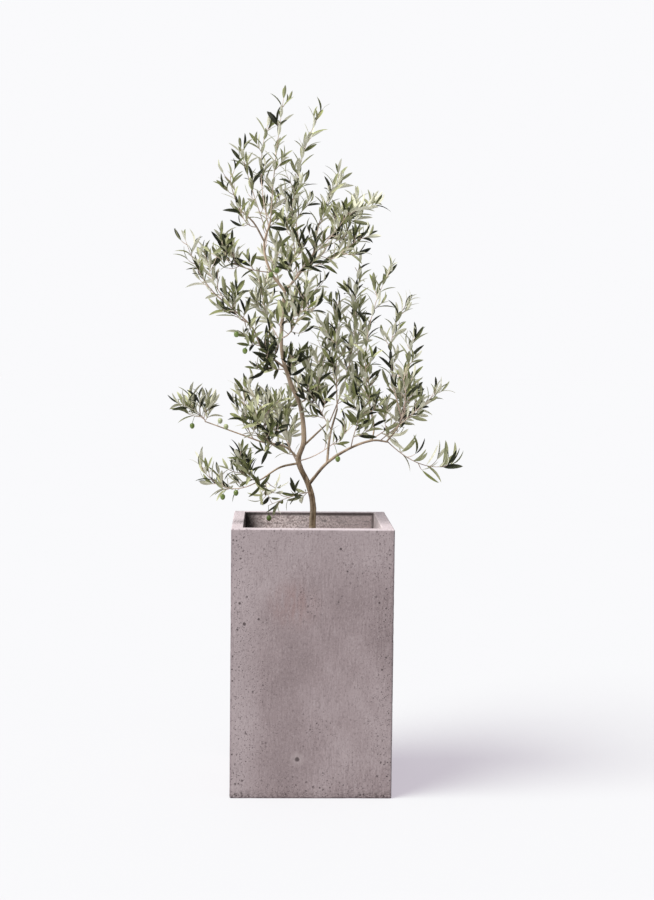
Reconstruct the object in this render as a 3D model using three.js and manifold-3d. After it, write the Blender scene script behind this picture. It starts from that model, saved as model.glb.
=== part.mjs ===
// A potted olive tree: a young tree with one slim, winding stem in a tall square concrete planter.
// Millimetres, +Z up. The origin is the middle of the planter's flat underside, and +X is to the right
// as the tree is seen from its front, which faces -Y.
import * as THREE from 'three';
import { mergeVertices } from 'three/addons/utils/BufferGeometryUtils.js';
import Module from 'manifold-3d';

const { degToRad, lerp } = THREE.MathUtils;

const wasm = await Module();
wasm.setup();

// Planter and soil
const PLANTER_WIDTH = 400;
const PLANTER_HEIGHT = 668;
const WALL = 29.7;
const FLOOR = 40;
const OUTER_CORNER = 3;
const INNER_CORNER = 6;
const EDGE = 2.5;
const CORNER_SEGMENTS = 2;
const SOIL_LEVEL = 608;

// Clearance that neighbouring pieces keep, and how close two corners are one
const GAP = 0.3;
const MERGE_WITHIN = 1e-4;

// Trunk and boughs
const TRUNK_SIDES = 8;
const BOUGH_SIDES = 6;
const LIMB_STEP = 44;
const FLARE_RADIUS = 3.4;
const FLARE_HEIGHT = 24;

// Twigs, leaves and olives of the foliage masses
const TWIG_SIDES = 3;
const TWIG_TIP_RADIUS = 0.8;
const SHOOT_ROOT_RADIUS = 0.9;
const STEM_STEP = 75;
const SHOOT_STEP = 90;
const SHOOTS_GROWN = 3;
const SHOOT_OPENING = degToRad(48);
const SHOOT_LENGTH = 1.5;
const SHOOT_LENGTH_VARIES = [0.8, 1.2];
const SHOOT_FORWARD = 0.85;
const SHOOT_LIFT = 0.225;
const SHOOT_SHORTEST = 0.5;
const FIRST_SHOOT = 0.06;
const LAST_SHOOT = 0.92;
const HIGHEST_SHOOT = 0.94;
const TURN_BETWEEN_MASSES = 1.7;
const LEAFLESS_STEM = 0.08;
const LEAFLESS_SHOOT = 0.2;
const LEAF_SPACING = 47;
const TIP_PAIR_SETBACK = 1.2;
const LEAF_LENGTH = 60;
const LEAF_WIDTH = 14.5;
const LEAF_SIZE_VARIES = [0.78, 1.14];
const LEAF_TURN_VARIES = [-0.25, 0.25];
const LEAF_TILT_VARIES = [-0.12, 0.12];
const TIP_LEAF_SIZE = 0.82;
const LEAF_THICKNESS = 1.5;
const LEAF_SINK = 0.2;
const LEAF_OPENING = degToRad(46);
const TIP_LEAF_OPENING = degToRad(22);
const LEAF_LIFT = 0.3;
const LEAF_BROADEST = 0.42;
const LEAF_SIZES_TRIED = [1, 0.8];
const OLIVE_RADIUS = 6.3;
const OLIVE_HALF_LENGTH = 7.6;
const STALK_RADIUS = 0.9;
const OLIVE_HOLDS = Array.from({ length: 18 }, (_, i) => 0.1 + 0.05 * i);
const SQUARE = Math.PI / 2;
const GOLDEN_ANGLE = degToRad(137.508);

// The space round each stem that its mass keeps to, tested at places along stems, shoots and leaves
const SPACE_SAMPLES = 16;
const SHOOT_SAMPLES = 7;
const TWIG_SAMPLES = 12;
const SPACE_STEP = 1 / 8;
const SHOOT_OVERREACH = 1.2;
const STEM_SPACE_START = 0.05;
const BARE_SHARE_LEFT_OUT = 0.6;
const TWIG_MARGIN = 3;
const LEAF_MARGIN = 1;
const LIMB_CLEARANCE = 2.5;
const LEAF_OVERREACH = 38;
const LEAF_APART = 8;
const OBSTACLE_STEP = 6;
const LEAF_MIDDLE = [0.3, 0.45, 0.6, 0.75, 0.9, 1];

// Colours from the tree, with how rough and how metallic each surface is
const CONCRETE = { color: 0x9d8e8f, roughness: 0.92, metalness: 0 };
const SOIL = { color: 0x4a3c32, roughness: 1, metalness: 0 };
const BARK = { color: 0x8b7b6c, roughness: 0.95, metalness: 0 };
const FOLIAGE = { color: 0x7f8763, roughness: 0.6, metalness: 0 };

// The trunk and its boughs, each with its radius at the root and the tip and the places it passes through
const LIMBS = [
  { name: 'trunk', radii: [8.5, 4.4], through: [[3, 0, 608], [3, 0, 649], [4, 2, 706], [-8, 4, 757], [-34, 0, 818],
    [-21, -4, 872], [-30, -6, 956], [-59, 0, 1024], [-80, 6, 1112], [-73, 0, 1249]] },
  { name: 'bough_right', radii: [4.3, 2.2], through: [[-7, 3, 759], [38, -15, 815], [95, -38, 855],
    [149, -58, 876], [188, -72, 874]] },
  { name: 'bough_right_upright', radii: [3.3, 2.2], through: [[38, -15, 815], [46, 5, 885], [64, 28, 950]] },
  { name: 'bough_inner_right', radii: [2.9, 1.9], through: [[-22, -4, 857], [11, 30, 886], [47, 62, 917]] },
  { name: 'bough_low_left', radii: [3.0, 1.9], through: [[-33, 0, 813], [-81, -28, 804], [-126, -55, 777]] },
  { name: 'bough_left', radii: [2.8, 1.4], through: [[-35, 0, 826], [-71, 15, 855], [-127, 32, 864],
    [-184, 42, 883], [-274, 50, 914]] },
  { name: 'bough_upper_left', radii: [3.0, 1.6], through: [[-70, 2, 1054], [-126, -18, 1100], [-159, -34, 1162],
    [-242, -48, 1234]] },
  { name: 'leader_left', radii: [3.7, 2.3], through: [[-73, 0, 1249], [-110, 8, 1299], [-126, 14, 1362],
    [-110, 18, 1425]] },
  { name: 'bough_top_left', radii: [2.4, 1.7], through: [[-126, 14, 1374], [-152, -8, 1418], [-187, -28, 1449]] },
  { name: 'leader_right', radii: [3.5, 2.2], through: [[-73, 0, 1249], [-40, 14, 1287], [11, 34, 1362]] },
  { name: 'bough_fan', radii: [2.2, 1.6], through: [[149, -58, 875], [155, -40, 907], [151, -15, 946]] },
  { name: 'bough_right_end', radii: [2.2, 1.6], through: [[186, -71, 876], [208, -80, 905], [228, -95, 948]] },
];

// The masses of foliage. Each one is a stem that leaves a limb at a share of its length, passes `via` at its
// middle and ends at `tip`. `bare` is the leafless share of the stem, `reach` how far its shoots spread,
// `shoots` how many it has, `taper` how much shorter they are at the tip, and `olives` where any fruit hangs.
const MASSES = [
  { name: 'foliage_top_leader', on: 'leader_left', at: 1.0, radius: 1.6,
    bare: 0.15, reach: 38, shoots: 5, taper: 0.8, via: [-100, 15, 1565], tip: [-80, 5, 1730] },
  { name: 'foliage_top_mid', on: 'leader_left', at: 0.92, radius: 1.4,
    bare: 0.05, reach: 32, shoots: 4, taper: 0.7, via: [-135, 45, 1550], tip: [-120, 50, 1665] },
  { name: 'foliage_top_left_slim', on: 'leader_left', at: 0.84, radius: 1.4,
    bare: 0.08, reach: 26, shoots: 6, taper: 0.8, via: [-160, -25, 1510], tip: [-185, -35, 1600] },
  { name: 'foliage_top_left', on: 'bough_top_left', at: 1.0, radius: 1.5,
    bare: 0.1, reach: 32, shoots: 5, taper: 0.5, via: [-205, -50, 1495], tip: [-210, -60, 1530] },
  { name: 'foliage_top_right', on: 'leader_right', at: 0.6, radius: 1.6,
    bare: 0.25, reach: 32, shoots: 6, taper: 0.8, via: [-45, 75, 1510], tip: [15, 70, 1705] },
  { name: 'foliage_upper_center', on: 'leader_right', at: 0.35, radius: 1.6,
    bare: 0.05, reach: 46, shoots: 8, taper: 0.5, via: [-55, -35, 1420], tip: [-50, -45, 1510] },
  { name: 'foliage_leader_back', on: 'leader_left', at: 0.55, radius: 1.5,
    bare: 0.15, reach: 46, shoots: 7, taper: 0.4, via: [-110, 65, 1435], tip: [-85, 95, 1495] },
  { name: 'foliage_upper_right_up', on: 'leader_right', at: 0.85, radius: 1.5,
    bare: 0, reach: 37, shoots: 6, taper: 0.6, via: [25, 0, 1460], tip: [65, -10, 1525] },
  { name: 'foliage_upper_right', on: 'leader_right', at: 1.0, radius: 1.6,
    bare: 0.05, reach: 46, shoots: 7, taper: 0.6, via: [85, 70, 1430], tip: [145, 90, 1475] },
  { name: 'foliage_upper_right_front', on: 'leader_right', at: 0.78, radius: 1.5,
    bare: 0.05, reach: 38, shoots: 6, taper: 0.4, via: [45, -40, 1390], tip: [85, -60, 1445] },
  { name: 'foliage_upper_right_low', on: 'leader_right', at: 0.5, radius: 1.5,
    bare: 0.05, reach: 48, shoots: 8, taper: 0.5, via: [50, -40, 1335], tip: [115, -85, 1385] },
  { name: 'foliage_fork_front', on: 'leader_right', at: 0.15, radius: 1.5,
    bare: 0.15, reach: 50, shoots: 8, taper: 0.4, via: [-25, -45, 1310], tip: [30, -85, 1345] },
  { name: 'foliage_fork_back', on: 'leader_left', at: 0.1, radius: 1.5,
    bare: 0.15, reach: 40, shoots: 7, taper: 0.4, via: [-95, 65, 1315], tip: [-85, 110, 1355] },
  { name: 'foliage_upper_left_inner', on: 'leader_left', at: 0.3, radius: 1.5,
    bare: 0.08, reach: 40, shoots: 8, taper: 0.3, via: [-200, -25, 1315], tip: [-225, -50, 1355] },
  { name: 'foliage_left_upright', on: 'bough_top_left', at: 0.4, radius: 1.3,
    bare: 0.2, reach: 28, shoots: 6, taper: 0.5, via: [-170, -70, 1415], tip: [-185, -90, 1450] },
  { name: 'foliage_upper_left_tip', on: 'bough_upper_left', at: 1.0, radius: 1.5,
    bare: 0.1, reach: 28, shoots: 6, taper: 0.6, via: [-285, -55, 1290], tip: [-320, -70, 1370] },
  { name: 'foliage_upper_left_end', on: 'bough_upper_left', at: 0.84, radius: 1.5,
    bare: 0.1, reach: 31, shoots: 7, taper: 0.4, via: [-255, 5, 1275], tip: [-265, 40, 1320] },
  { name: 'foliage_upper_left_mid', on: 'bough_upper_left', at: 0.6, radius: 1.5,
    bare: 0.15, reach: 40, shoots: 7, taper: 0.4, via: [-190, -85, 1185], tip: [-210, -110, 1215] },
  { name: 'foliage_upper_left_low', on: 'bough_upper_left', at: 0.35, radius: 1.5,
    bare: 0.15, reach: 32, shoots: 7, taper: 0.4, via: [-155, -65, 1125], tip: [-175, -105, 1180],
    olives: [[-192, -100, 1139], [-171, -84, 1098]] },
  { name: 'foliage_left_back', on: 'trunk', at: 0.8, radius: 1.6,
    bare: 0.15, reach: 34, shoots: 8, taper: 0.3, via: [-125, 75, 1210], tip: [-120, 115, 1275] },
  { name: 'foliage_trunk_front_left', on: 'trunk', at: 0.7, radius: 1.5,
    bare: 0.15, reach: 50, shoots: 9, taper: 0.3, via: [-110, -50, 1065], tip: [-120, -90, 1125] },
  { name: 'foliage_center_high', on: 'trunk', at: 0.87, radius: 1.5,
    bare: 0, reach: 40, shoots: 7, taper: 0.4, via: [-35, 40, 1200], tip: [10, 70, 1260] },
  { name: 'foliage_front_high', on: 'trunk', at: 0.82, radius: 2.0,
    bare: 0.2, reach: 48, shoots: 9, taper: 0.4, via: [-50, -95, 1160], tip: [-25, -150, 1240] },
  { name: 'foliage_center_mid', on: 'trunk', at: 0.66, radius: 1.5,
    bare: 0.05, reach: 31, shoots: 8, taper: 0.3, via: [-55, -50, 1065], tip: [-55, -80, 1085] },
  { name: 'foliage_back_mid', on: 'trunk', at: 0.56, radius: 2.4,
    bare: 0.15, reach: 54, shoots: 9, taper: 0.3, via: [10, 110, 1010], tip: [55, 205, 1140] },
  { name: 'foliage_fan_left', on: 'bough_right_upright', at: 1.0, radius: 1.7,
    bare: 0.05, reach: 40, shoots: 8, taper: 0.6, via: [60, 30, 1110], tip: [60, 20, 1225] },
  { name: 'foliage_fan_back', on: 'bough_inner_right', at: 1.0, radius: 1.7,
    bare: 0.05, reach: 38, shoots: 9, taper: 0.6, via: [105, 105, 1100], tip: [100, 100, 1250] },
  { name: 'foliage_fan_middle', on: 'bough_fan', at: 1.0, radius: 1.6,
    bare: 0.05, reach: 34, shoots: 8, taper: 0.7, via: [110, 0, 1135], tip: [115, -10, 1320] },
  { name: 'foliage_fan_front', on: 'bough_fan', at: 0.55, radius: 1.6,
    bare: 0, reach: 30, shoots: 8, taper: 0.5, via: [130, -100, 1115], tip: [185, -110, 1300] },
  { name: 'foliage_fan_right', on: 'bough_right_end', at: 0.8, radius: 1.6,
    bare: 0.05, reach: 28, shoots: 8, taper: 0.7, via: [195, -40, 1110], tip: [240, -40, 1225] },
  { name: 'foliage_inner_low', on: 'bough_right_upright', at: 0.6, radius: 1.5,
    bare: 0.1, reach: 46, shoots: 8, taper: 0.3, via: [10, -20, 965], tip: [-15, -40, 1005] },
  { name: 'foliage_right_upright', on: 'bough_right_end', at: 1.0, radius: 1.5,
    bare: 0.05, reach: 24, shoots: 6, taper: 0.6, via: [230, -105, 1040], tip: [245, -105, 1135] },
  { name: 'foliage_right_front', on: 'bough_right_end', at: 0.6, radius: 1.4,
    bare: 0.1, reach: 34, shoots: 5, taper: 0.5, via: [225, -145, 1005], tip: [205, -150, 1045] },
  { name: 'foliage_right_tip', on: 'bough_right', at: 0.92, radius: 1.5,
    bare: 0.1, reach: 24, shoots: 7, taper: 0.6, via: [270, -45, 960], tip: [315, -35, 1000] },
  { name: 'foliage_right_back', on: 'bough_right', at: 0.78, radius: 1.5,
    bare: 0.1, reach: 46, shoots: 9, taper: 0.3, via: [220, 20, 925], tip: [245, 55, 975] },
  { name: 'foliage_low_right', on: 'bough_right', at: 1.0, radius: 1.4,
    bare: 0, reach: 25, shoots: 6, taper: 0.2, via: [270, -80, 820], tip: [345, -90, 820] },
  { name: 'foliage_inner_hanging', on: 'trunk', at: 0.33, radius: 1.6,
    bare: 0.35, reach: 30, shoots: 5, taper: 0.3, via: [35, -60, 855], tip: [110, -100, 930],
    olives: [[63, -76, 830]] },
  { name: 'foliage_right_mid', on: 'bough_right', at: 0.6, radius: 1.5,
    bare: 0.05, reach: 46, shoots: 9, taper: 0.3, via: [110, -100, 920], tip: [135, -135, 980] },
  { name: 'foliage_left_inner', on: 'trunk', at: 0.27, radius: 2.2,
    bare: 0.1, reach: 50, shoots: 9, taper: 0.3, via: [-75, 90, 890], tip: [-85, 150, 945] },
  { name: 'foliage_left_mid', on: 'bough_left', at: 0.5, radius: 1.5,
    bare: 0, reach: 38, shoots: 9, taper: 0.4, via: [-170, 10, 930], tip: [-170, 0, 1005] },
  { name: 'foliage_left_front', on: 'bough_left', at: 0.25, radius: 1.5,
    bare: 0, reach: 46, shoots: 9, taper: 0.3, via: [-115, -40, 880], tip: [-125, -75, 965],
    olives: [[-105, -34, 889], [-114, -30, 853]] },
  { name: 'foliage_far_left', on: 'bough_left', at: 1.0, radius: 1.4,
    bare: 0.0, reach: 38, shoots: 9, taper: 0.4, via: [-285, 55, 930], tip: [-320, 50, 960],
    olives: [[-307, 54, 902]] },
  { name: 'foliage_low_left_upper', on: 'bough_low_left', at: 0.95, radius: 1.5,
    bare: 0.1, reach: 38, shoots: 7, taper: 0.3, via: [-155, -90, 780], tip: [-190, -105, 815] },
  { name: 'foliage_low_left_tip', on: 'bough_low_left', at: 1.0, radius: 1.5,
    bare: 0.15, reach: 30, shoots: 7, taper: 0.4, via: [-210, -75, 755], tip: [-280, -90, 810],
    olives: [[-191, -74, 743], [-224, -78, 733]] },
  { name: 'foliage_low_front', on: 'bough_low_left', at: 0.85, radius: 1.4,
    bare: 0.1, reach: 38, shoots: 8, taper: 0.3, via: [-115, -45, 750], tip: [-100, -60, 715] },
  { name: 'foliage_low_shoot', on: 'trunk', at: 0.2, radius: 1.4,
    bare: 0, reach: 22, shoots: 5, taper: 0.3, via: [-55, -40, 730], tip: [-110, -60, 710] },
];

const UP = new THREE.Vector3(0, 0, 1);
const BACK = new THREE.Vector3(0, 1, 0);

// A number between two limits that depends on nothing but its seed and its place in the row.
function draw(seed, place, [low, high] = [0, 1]) {
  const wave = Math.sin(seed * 12.9898 + place * 78.233) * 43758.5453;
  return low + (high - low) * (wave - Math.floor(wave));
}

// The unit vector square to a direction, turned round it by an angle from the side that faces up.
function sideways(direction, angle) {
  const reference = Math.abs(direction.z) < 0.9 ? UP : BACK;
  const first = reference.clone().addScaledVector(direction, -reference.dot(direction)).normalize();
  const second = direction.clone().cross(first);
  return first.multiplyScalar(Math.cos(angle)).addScaledVector(second, Math.sin(angle));
}

// A closed geometry as a solid.
function solid(geometry) {
  const bare = geometry.index ? geometry.toNonIndexed() : geometry.clone();
  bare.deleteAttribute('normal');
  bare.deleteAttribute('uv');
  const merged = mergeVertices(bare, MERGE_WITHIN);
  return new wasm.Manifold(new wasm.Mesh({
    numProp: 3,
    vertProperties: new Float32Array(merged.attributes.position.array),
    triVerts: new Uint32Array(merged.index.array),
  }));
}

// A solid's surface as a geometry with flat facets.
function geometryOf(body) {
  const mesh = body.getMesh();
  const geometry = new THREE.BufferGeometry();
  geometry.setAttribute('position', new THREE.BufferAttribute(new Float32Array(mesh.vertProperties), 3));
  geometry.setIndex(new THREE.BufferAttribute(new Uint32Array(mesh.triVerts), 1));
  geometry.computeVertexNormals();
  return geometry;
}

// The largest body of a solid, without loose scraps and with any sealed hollow filled.
function largestBody(body) {
  const parts = body.decompose().filter((part) => part.volume() > 0);
  return parts.reduce((best, part) => (part.volume() > best.volume() ? part : best));
}

// A tapering tube along a curve: a cylinder whose rings are carried along it without twisting. `grow` makes it
// that much larger all round and `foot` keeps its first ring level.
function tube(curve, radiusAt, sides, steps, grow = 0, foot = false) {
  const geometry = new THREE.CylinderGeometry(1, 1, 1, sides, steps);
  const widen = grow / Math.cos(Math.PI / sides);
  const rings = [];
  let normal = sideways(curve.getTangent(0), 0);
  for (let i = 0; i <= steps; i++) {
    const along = i / steps;
    const tangent = foot && i === 0 ? UP.clone() : curve.getTangent(along);
    normal = normal.clone().addScaledVector(tangent, -normal.dot(tangent)).normalize();
    const centre = curve.getPoint(along);
    if (i === 0) centre.addScaledVector(tangent, -grow);
    if (i === steps) centre.addScaledVector(tangent, grow);
    rings.push({ centre, normal, across: normal.clone().cross(tangent), radius: radiusAt(along) + widen });
  }
  const position = geometry.attributes.position;
  for (let i = 0; i < position.count; i++) {
    const ring = rings[Math.round((position.getY(i) + 0.5) * steps)];
    const place = ring.centre.clone()
      .addScaledVector(ring.normal, position.getX(i) * ring.radius)
      .addScaledVector(ring.across, position.getZ(i) * ring.radius);
    position.setXYZ(i, place.x, place.y, place.z);
  }
  return solid(geometry);
}

// A rounded square of the given width, as an outline for an extrusion.
function roundedSquare(width, corner) {
  const half = width / 2;
  const shape = new THREE.Shape();
  shape.moveTo(half - corner, -half);
  shape.absarc(half - corner, corner - half, corner, -Math.PI / 2, 0);
  shape.absarc(half - corner, half - corner, corner, 0, Math.PI / 2);
  shape.absarc(corner - half, half - corner, corner, Math.PI / 2, Math.PI);
  shape.absarc(corner - half, corner - half, corner, Math.PI, 1.5 * Math.PI);
  shape.closePath();
  return shape;
}

// The planter: a square concrete box with eased edges, open at the top.
function planterSolid() {
  const outer = new THREE.ExtrudeGeometry(roundedSquare(PLANTER_WIDTH - 2 * EDGE, OUTER_CORNER), {
    depth: PLANTER_HEIGHT - 2 * EDGE, bevelEnabled: true, bevelThickness: EDGE, bevelSize: EDGE,
    bevelSegments: 1, curveSegments: CORNER_SEGMENTS,
  }).translate(0, 0, EDGE);
  const inner = new THREE.ExtrudeGeometry(roundedSquare(PLANTER_WIDTH - 2 * WALL, INNER_CORNER), {
    depth: PLANTER_HEIGHT, bevelEnabled: false, curveSegments: CORNER_SEGMENTS,
  }).translate(0, 0, FLOOR);
  return solid(outer).subtract(solid(inner));
}

// The soil: a block that rests on the planter's floor, a little clear of its walls.
function soilSolid() {
  return solid(new THREE.ExtrudeGeometry(roundedSquare(PLANTER_WIDTH - 2 * WALL - 2 * GAP, INNER_CORNER), {
    depth: SOIL_LEVEL - FLOOR, bevelEnabled: false, curveSegments: CORNER_SEGMENTS,
  }).translate(0, 0, FLOOR));
}

// A limb's middle line, smooth through its places.
function limbCurve(limb) {
  const points = limb.through.map((place) => new THREE.Vector3(...place));
  return new THREE.CatmullRomCurve3(points, false, 'catmullrom', 0.5);
}

// A limb's radius along its curve; the trunk spreads into a flare at the soil.
function limbRadius(limb, along) {
  const [root, tip] = limb.radii;
  const plain = lerp(root, tip, along);
  if (limb.name !== 'trunk') return plain;
  return plain + FLARE_RADIUS * Math.exp((SOIL_LEVEL - limb.curve.getPoint(along).z) / FLARE_HEIGHT);
}

// A limb as a solid, or its clearance when it is grown.
function limbSolid(limb, grow) {
  const sides = limb.name === 'trunk' ? TRUNK_SIDES : BOUGH_SIDES;
  const steps = Math.ceil(limb.curve.getLength() / LIMB_STEP);
  const radiusAt = (along) => limbRadius(limb, along);
  return tube(limb.curve, radiusAt, sides, steps, grow, limb.name === 'trunk' && grow === 0);
}

// A mass's stem: a quadratic curve from its limb through `via` to `tip`.
function stemCurve(mass, limb) {
  const start = limb.curve.getPointAt(mass.at);
  const tip = new THREE.Vector3(...mass.tip);
  const control = new THREE.Vector3(...mass.via).multiplyScalar(2)
    .addScaledVector(start, -0.5).addScaledVector(tip, -0.5);
  return new THREE.QuadraticBezierCurve3(start, control, tip);
}

// A place on the straight pieces that a curve is drawn with.
function chordPoint(curve, steps, along) {
  const piece = Math.min(Math.floor(along * steps), steps - 1);
  return curve.getPoint(piece / steps).lerp(curve.getPoint((piece + 1) / steps), along * steps - piece);
}

// Places at even shares of a curve, from one share to its end.
function samples(curve, from, count) {
  return Array.from({ length: count }, (_, i) => curve.getPoint(from + ((1 - from) * i) / (count - 1)));
}

// How far a point is from the nearest of some places.
function nearest(places, point) {
  return Math.min(...places.map((place) => place.distanceTo(point)));
}

// Whether a point lies in a mass's own space: within its reach, nearer to its stem than to any other by the
// margin, and clear of the limbs and of other masses' stems.
function inOwnSpace(point, mass, reach, margin) {
  const own = nearest(mass.space, point);
  if (own > reach) return false;
  if (masses.some((other) => other !== mass && nearest(other.space, point) < own + margin)) return false;
  return !obstacles.some((ball) => ball.mass !== mass
    && ball.centre.distanceTo(point) < ball.radius + LIMB_CLEARANCE);
}

// A side shoot: it leaves the stem at the opening angle, bends upwards and ends where its space ends.
function shootCurve(mass, index) {
  const step = (index + draw(mass.seed, index, [0, 0.5])) / Math.max(mass.shoots - 1, 1);
  const first = mass.bare + FIRST_SHOOT;
  const along = Math.min(first + (LAST_SHOOT - first) * step, HIGHEST_SHOOT);
  const stemDirection = mass.stem.getTangent(along);
  const angle = mass.seed * TURN_BETWEEN_MASSES + index * GOLDEN_ANGLE;
  const direction = stemDirection.clone().multiplyScalar(Math.cos(SHOOT_OPENING))
    .addScaledVector(sideways(stemDirection, angle), Math.sin(SHOOT_OPENING)).normalize();
  const length = mass.reach * SHOOT_LENGTH * (1 - mass.taper * along)
    * draw(mass.seed, index + 20, SHOOT_LENGTH_VARIES);
  const root = chordPoint(mass.stem, mass.steps, along);
  const bend = root.clone().addScaledVector(direction, 0.5 * length);
  const end = root.clone().addScaledVector(direction, SHOOT_FORWARD * length)
    .addScaledVector(UP, SHOOT_LIFT * length);
  const whole = new THREE.QuadraticBezierCurve3(root, bend, end);
  const reach = mass.reach * SHOOT_OVERREACH;
  let kept = 2 * SPACE_STEP;
  while (kept < 1 && inOwnSpace(whole.getPoint(kept + SPACE_STEP), mass, reach, TWIG_MARGIN)) {
    kept += SPACE_STEP;
  }
  if (kept < SHOOT_SHORTEST) return null;
  const curve = new THREE.QuadraticBezierCurve3(root, root.clone().lerp(bend, kept), whole.getPoint(kept));
  return { curve, angle };
}

// The leaves of one twig: opposite pairs at an even spacing back from its tip, each pair square to the last. The
// pair at the tip is narrow. The pairs are fewer than on the real tree, and the leaves larger.
function twigLeaves(mass, twig) {
  const length = twig.curve.getLength();
  const leaves = [];
  const lowest = twig.from * length;
  for (let pair = 0; length - TIP_PAIR_SETBACK - pair * LEAF_SPACING >= lowest; pair++) {
    const along = 1 - (TIP_PAIR_SETBACK + pair * LEAF_SPACING) / length;
    const base = chordPoint(twig.curve, twig.steps, along);
    const direction = twig.curve.getTangent(along);
    const opening = pair === 0 ? TIP_LEAF_OPENING : LEAF_OPENING;
    for (const half of [0, 1]) {
      const place = mass.seed * 31 + twig.number * 7.3 + pair * 2 + half;
      const angle = twig.angle + pair * SQUARE + half * Math.PI + draw(mass.seed, place, LEAF_TURN_VARIES);
      const tilt = opening + draw(mass.seed, place + 0.3, LEAF_TILT_VARIES);
      const axis = direction.clone().multiplyScalar(Math.cos(tilt))
        .addScaledVector(sideways(direction, angle), Math.sin(tilt))
        .addScaledVector(UP, LEAF_LIFT).normalize();
      const face = direction.clone().addScaledVector(axis, -axis.dot(direction)).normalize();
      const size = draw(mass.seed, place + 0.6, LEAF_SIZE_VARIES) * (pair === 0 ? TIP_LEAF_SIZE : 1);
      leaves.push({ base, axis, face, length: size * LEAF_LENGTH, across: axis.clone().cross(face) });
    }
  }
  return leaves;
}

// A place on a leaf, by its share of the length and of the half width.
function leafPlace(leaf, along, across) {
  return leaf.base.clone().addScaledVector(leaf.axis, along * leaf.length)
    .addScaledVector(leaf.across, across * 0.5 * LEAF_WIDTH);
}

// Whether a leaf stays in its mass's space, at places along its middle and at both edges, and keeps apart from
// the leaves and twigs that its mass has already.
function leafFits(leaf, mass, taken) {
  const middle = LEAF_MIDDLE.map((along) => leafPlace(leaf, along, 0));
  const edges = [-1, 1].map((side) => leafPlace(leaf, LEAF_BROADEST, side));
  return middle.every((place) => nearest(taken, place) > LEAF_APART)
    && [...middle, ...edges].every((place) => (
      inOwnSpace(place, mass, mass.reach + LEAF_OVERREACH, LEAF_MARGIN)));
}

// A leaf: a sphere of three sides and two rows drawn out into a thin blade with a keel, broadest before its
// middle. Its root is sunk in the twig.
function leafSolid(leaf) {
  const sphere = new THREE.SphereGeometry(1, 3, 2);
  sphere.computeBoundingBox();
  const { min, max } = sphere.boundingBox;
  const position = sphere.attributes.position;
  for (let i = 0; i < position.count; i++) {
    const end = position.getY(i);
    const broadest = Math.abs(end) < 0.5;
    const reach = broadest ? LEAF_BROADEST * leaf.length : Math.max(end * leaf.length, -LEAF_SINK);
    const place = leaf.base.clone().addScaledVector(leaf.axis, reach);
    if (broadest) {
      place.addScaledVector(leaf.face, (LEAF_THICKNESS * position.getX(i)) / (max.x - min.x))
        .addScaledVector(leaf.across, (-LEAF_WIDTH * position.getZ(i)) / (max.z - min.z));
    }
    position.setXYZ(i, place.x, place.y, place.z);
  }
  return solid(sphere);
}

// An olive on a stalk that hangs it from the nearest place on the twigs.
function oliveSolid(place, twigs) {
  const centre = new THREE.Vector3(...place);
  const holds = twigs.flatMap((twig) => OLIVE_HOLDS.map((along) => chordPoint(twig.curve, twig.steps, along)));
  const hold = holds.reduce((best, point) => (
    point.distanceTo(centre) < best.distanceTo(centre) ? point : best));
  const fruit = new THREE.SphereGeometry(1, 5, 3).rotateX(Math.PI / 2)
    .scale(OLIVE_RADIUS, OLIVE_RADIUS, OLIVE_HALF_LENGTH).translate(centre.x, centre.y, centre.z);
  const stalk = new THREE.LineCurve3(hold, centre);
  return solid(fruit).add(tube(stalk, () => STALK_RADIUS, TWIG_SIDES, 1));
}

// A mass's twigs: its stem and every third of its side shoots.
function massTwigs(mass) {
  const from = mass.bare + LEAFLESS_STEM;
  const twigs = [{ curve: mass.stem, steps: mass.steps, from, angle: 0, root: mass.radius, number: 0 }];
  for (let index = 0; index < mass.shoots; index += SHOOTS_GROWN) {
    const shoot = shootCurve(mass, index);
    if (shoot) {
      const steps = Math.ceil(shoot.curve.getLength() / SHOOT_STEP);
      twigs.push({ ...shoot, steps, from: LEAFLESS_SHOOT, root: SHOOT_ROOT_RADIUS, number: index + 1 });
    }
  }
  return twigs;
}

// A mass's leaves. One that doesn't fit is tried smaller, and then left out.
function massLeaves(mass) {
  const leaves = [];
  const taken = mass.twigs.flatMap((twig) => samples(twig.curve, 0, TWIG_SAMPLES));
  for (const leaf of mass.twigs.flatMap((twig) => twigLeaves(mass, twig))) {
    const fitting = LEAF_SIZES_TRIED.map((size) => ({ ...leaf, length: size * leaf.length }))
      .find((smaller) => leafFits(smaller, mass, taken));
    if (fitting) {
      leaves.push(fitting);
      taken.push(...LEAF_MIDDLE.map((along) => leafPlace(fitting, along, 0)));
    }
  }
  return leaves;
}

// A mass of foliage: its stem, shoots, leaves and olives fused into one body, clear of every limb.
function massSolid(mass) {
  const wood = mass.twigs.map((twig) => (
    tube(twig.curve, (along) => lerp(twig.root, TWIG_TIP_RADIUS, along), TWIG_SIDES, twig.steps)));
  const leaves = massLeaves(mass).map(leafSolid);
  const olives = (mass.olives ?? []).map((place) => oliveSolid(place, mass.twigs));
  const fused = [...wood, ...leaves, ...olives].reduce((body, piece) => body.add(piece));
  return largestBody(limbs.reduce((body, limb) => body.subtract(limb.clearance), fused));
}

const limbs = LIMBS.map((limb) => ({ ...limb, curve: limbCurve(limb) }));
for (const limb of limbs) limb.clearance = limbSolid(limb, GAP);

const masses = MASSES.map((mass, index) => {
  const stem = stemCurve(mass, limbs.find((limb) => limb.name === mass.on));
  const steps = Math.ceil(stem.getLength() / STEM_STEP);
  const from = STEM_SPACE_START + BARE_SHARE_LEFT_OUT * mass.bare;
  return { ...mass, seed: index + 1, stem, steps, space: samples(stem, from, SPACE_SAMPLES) };
});

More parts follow.
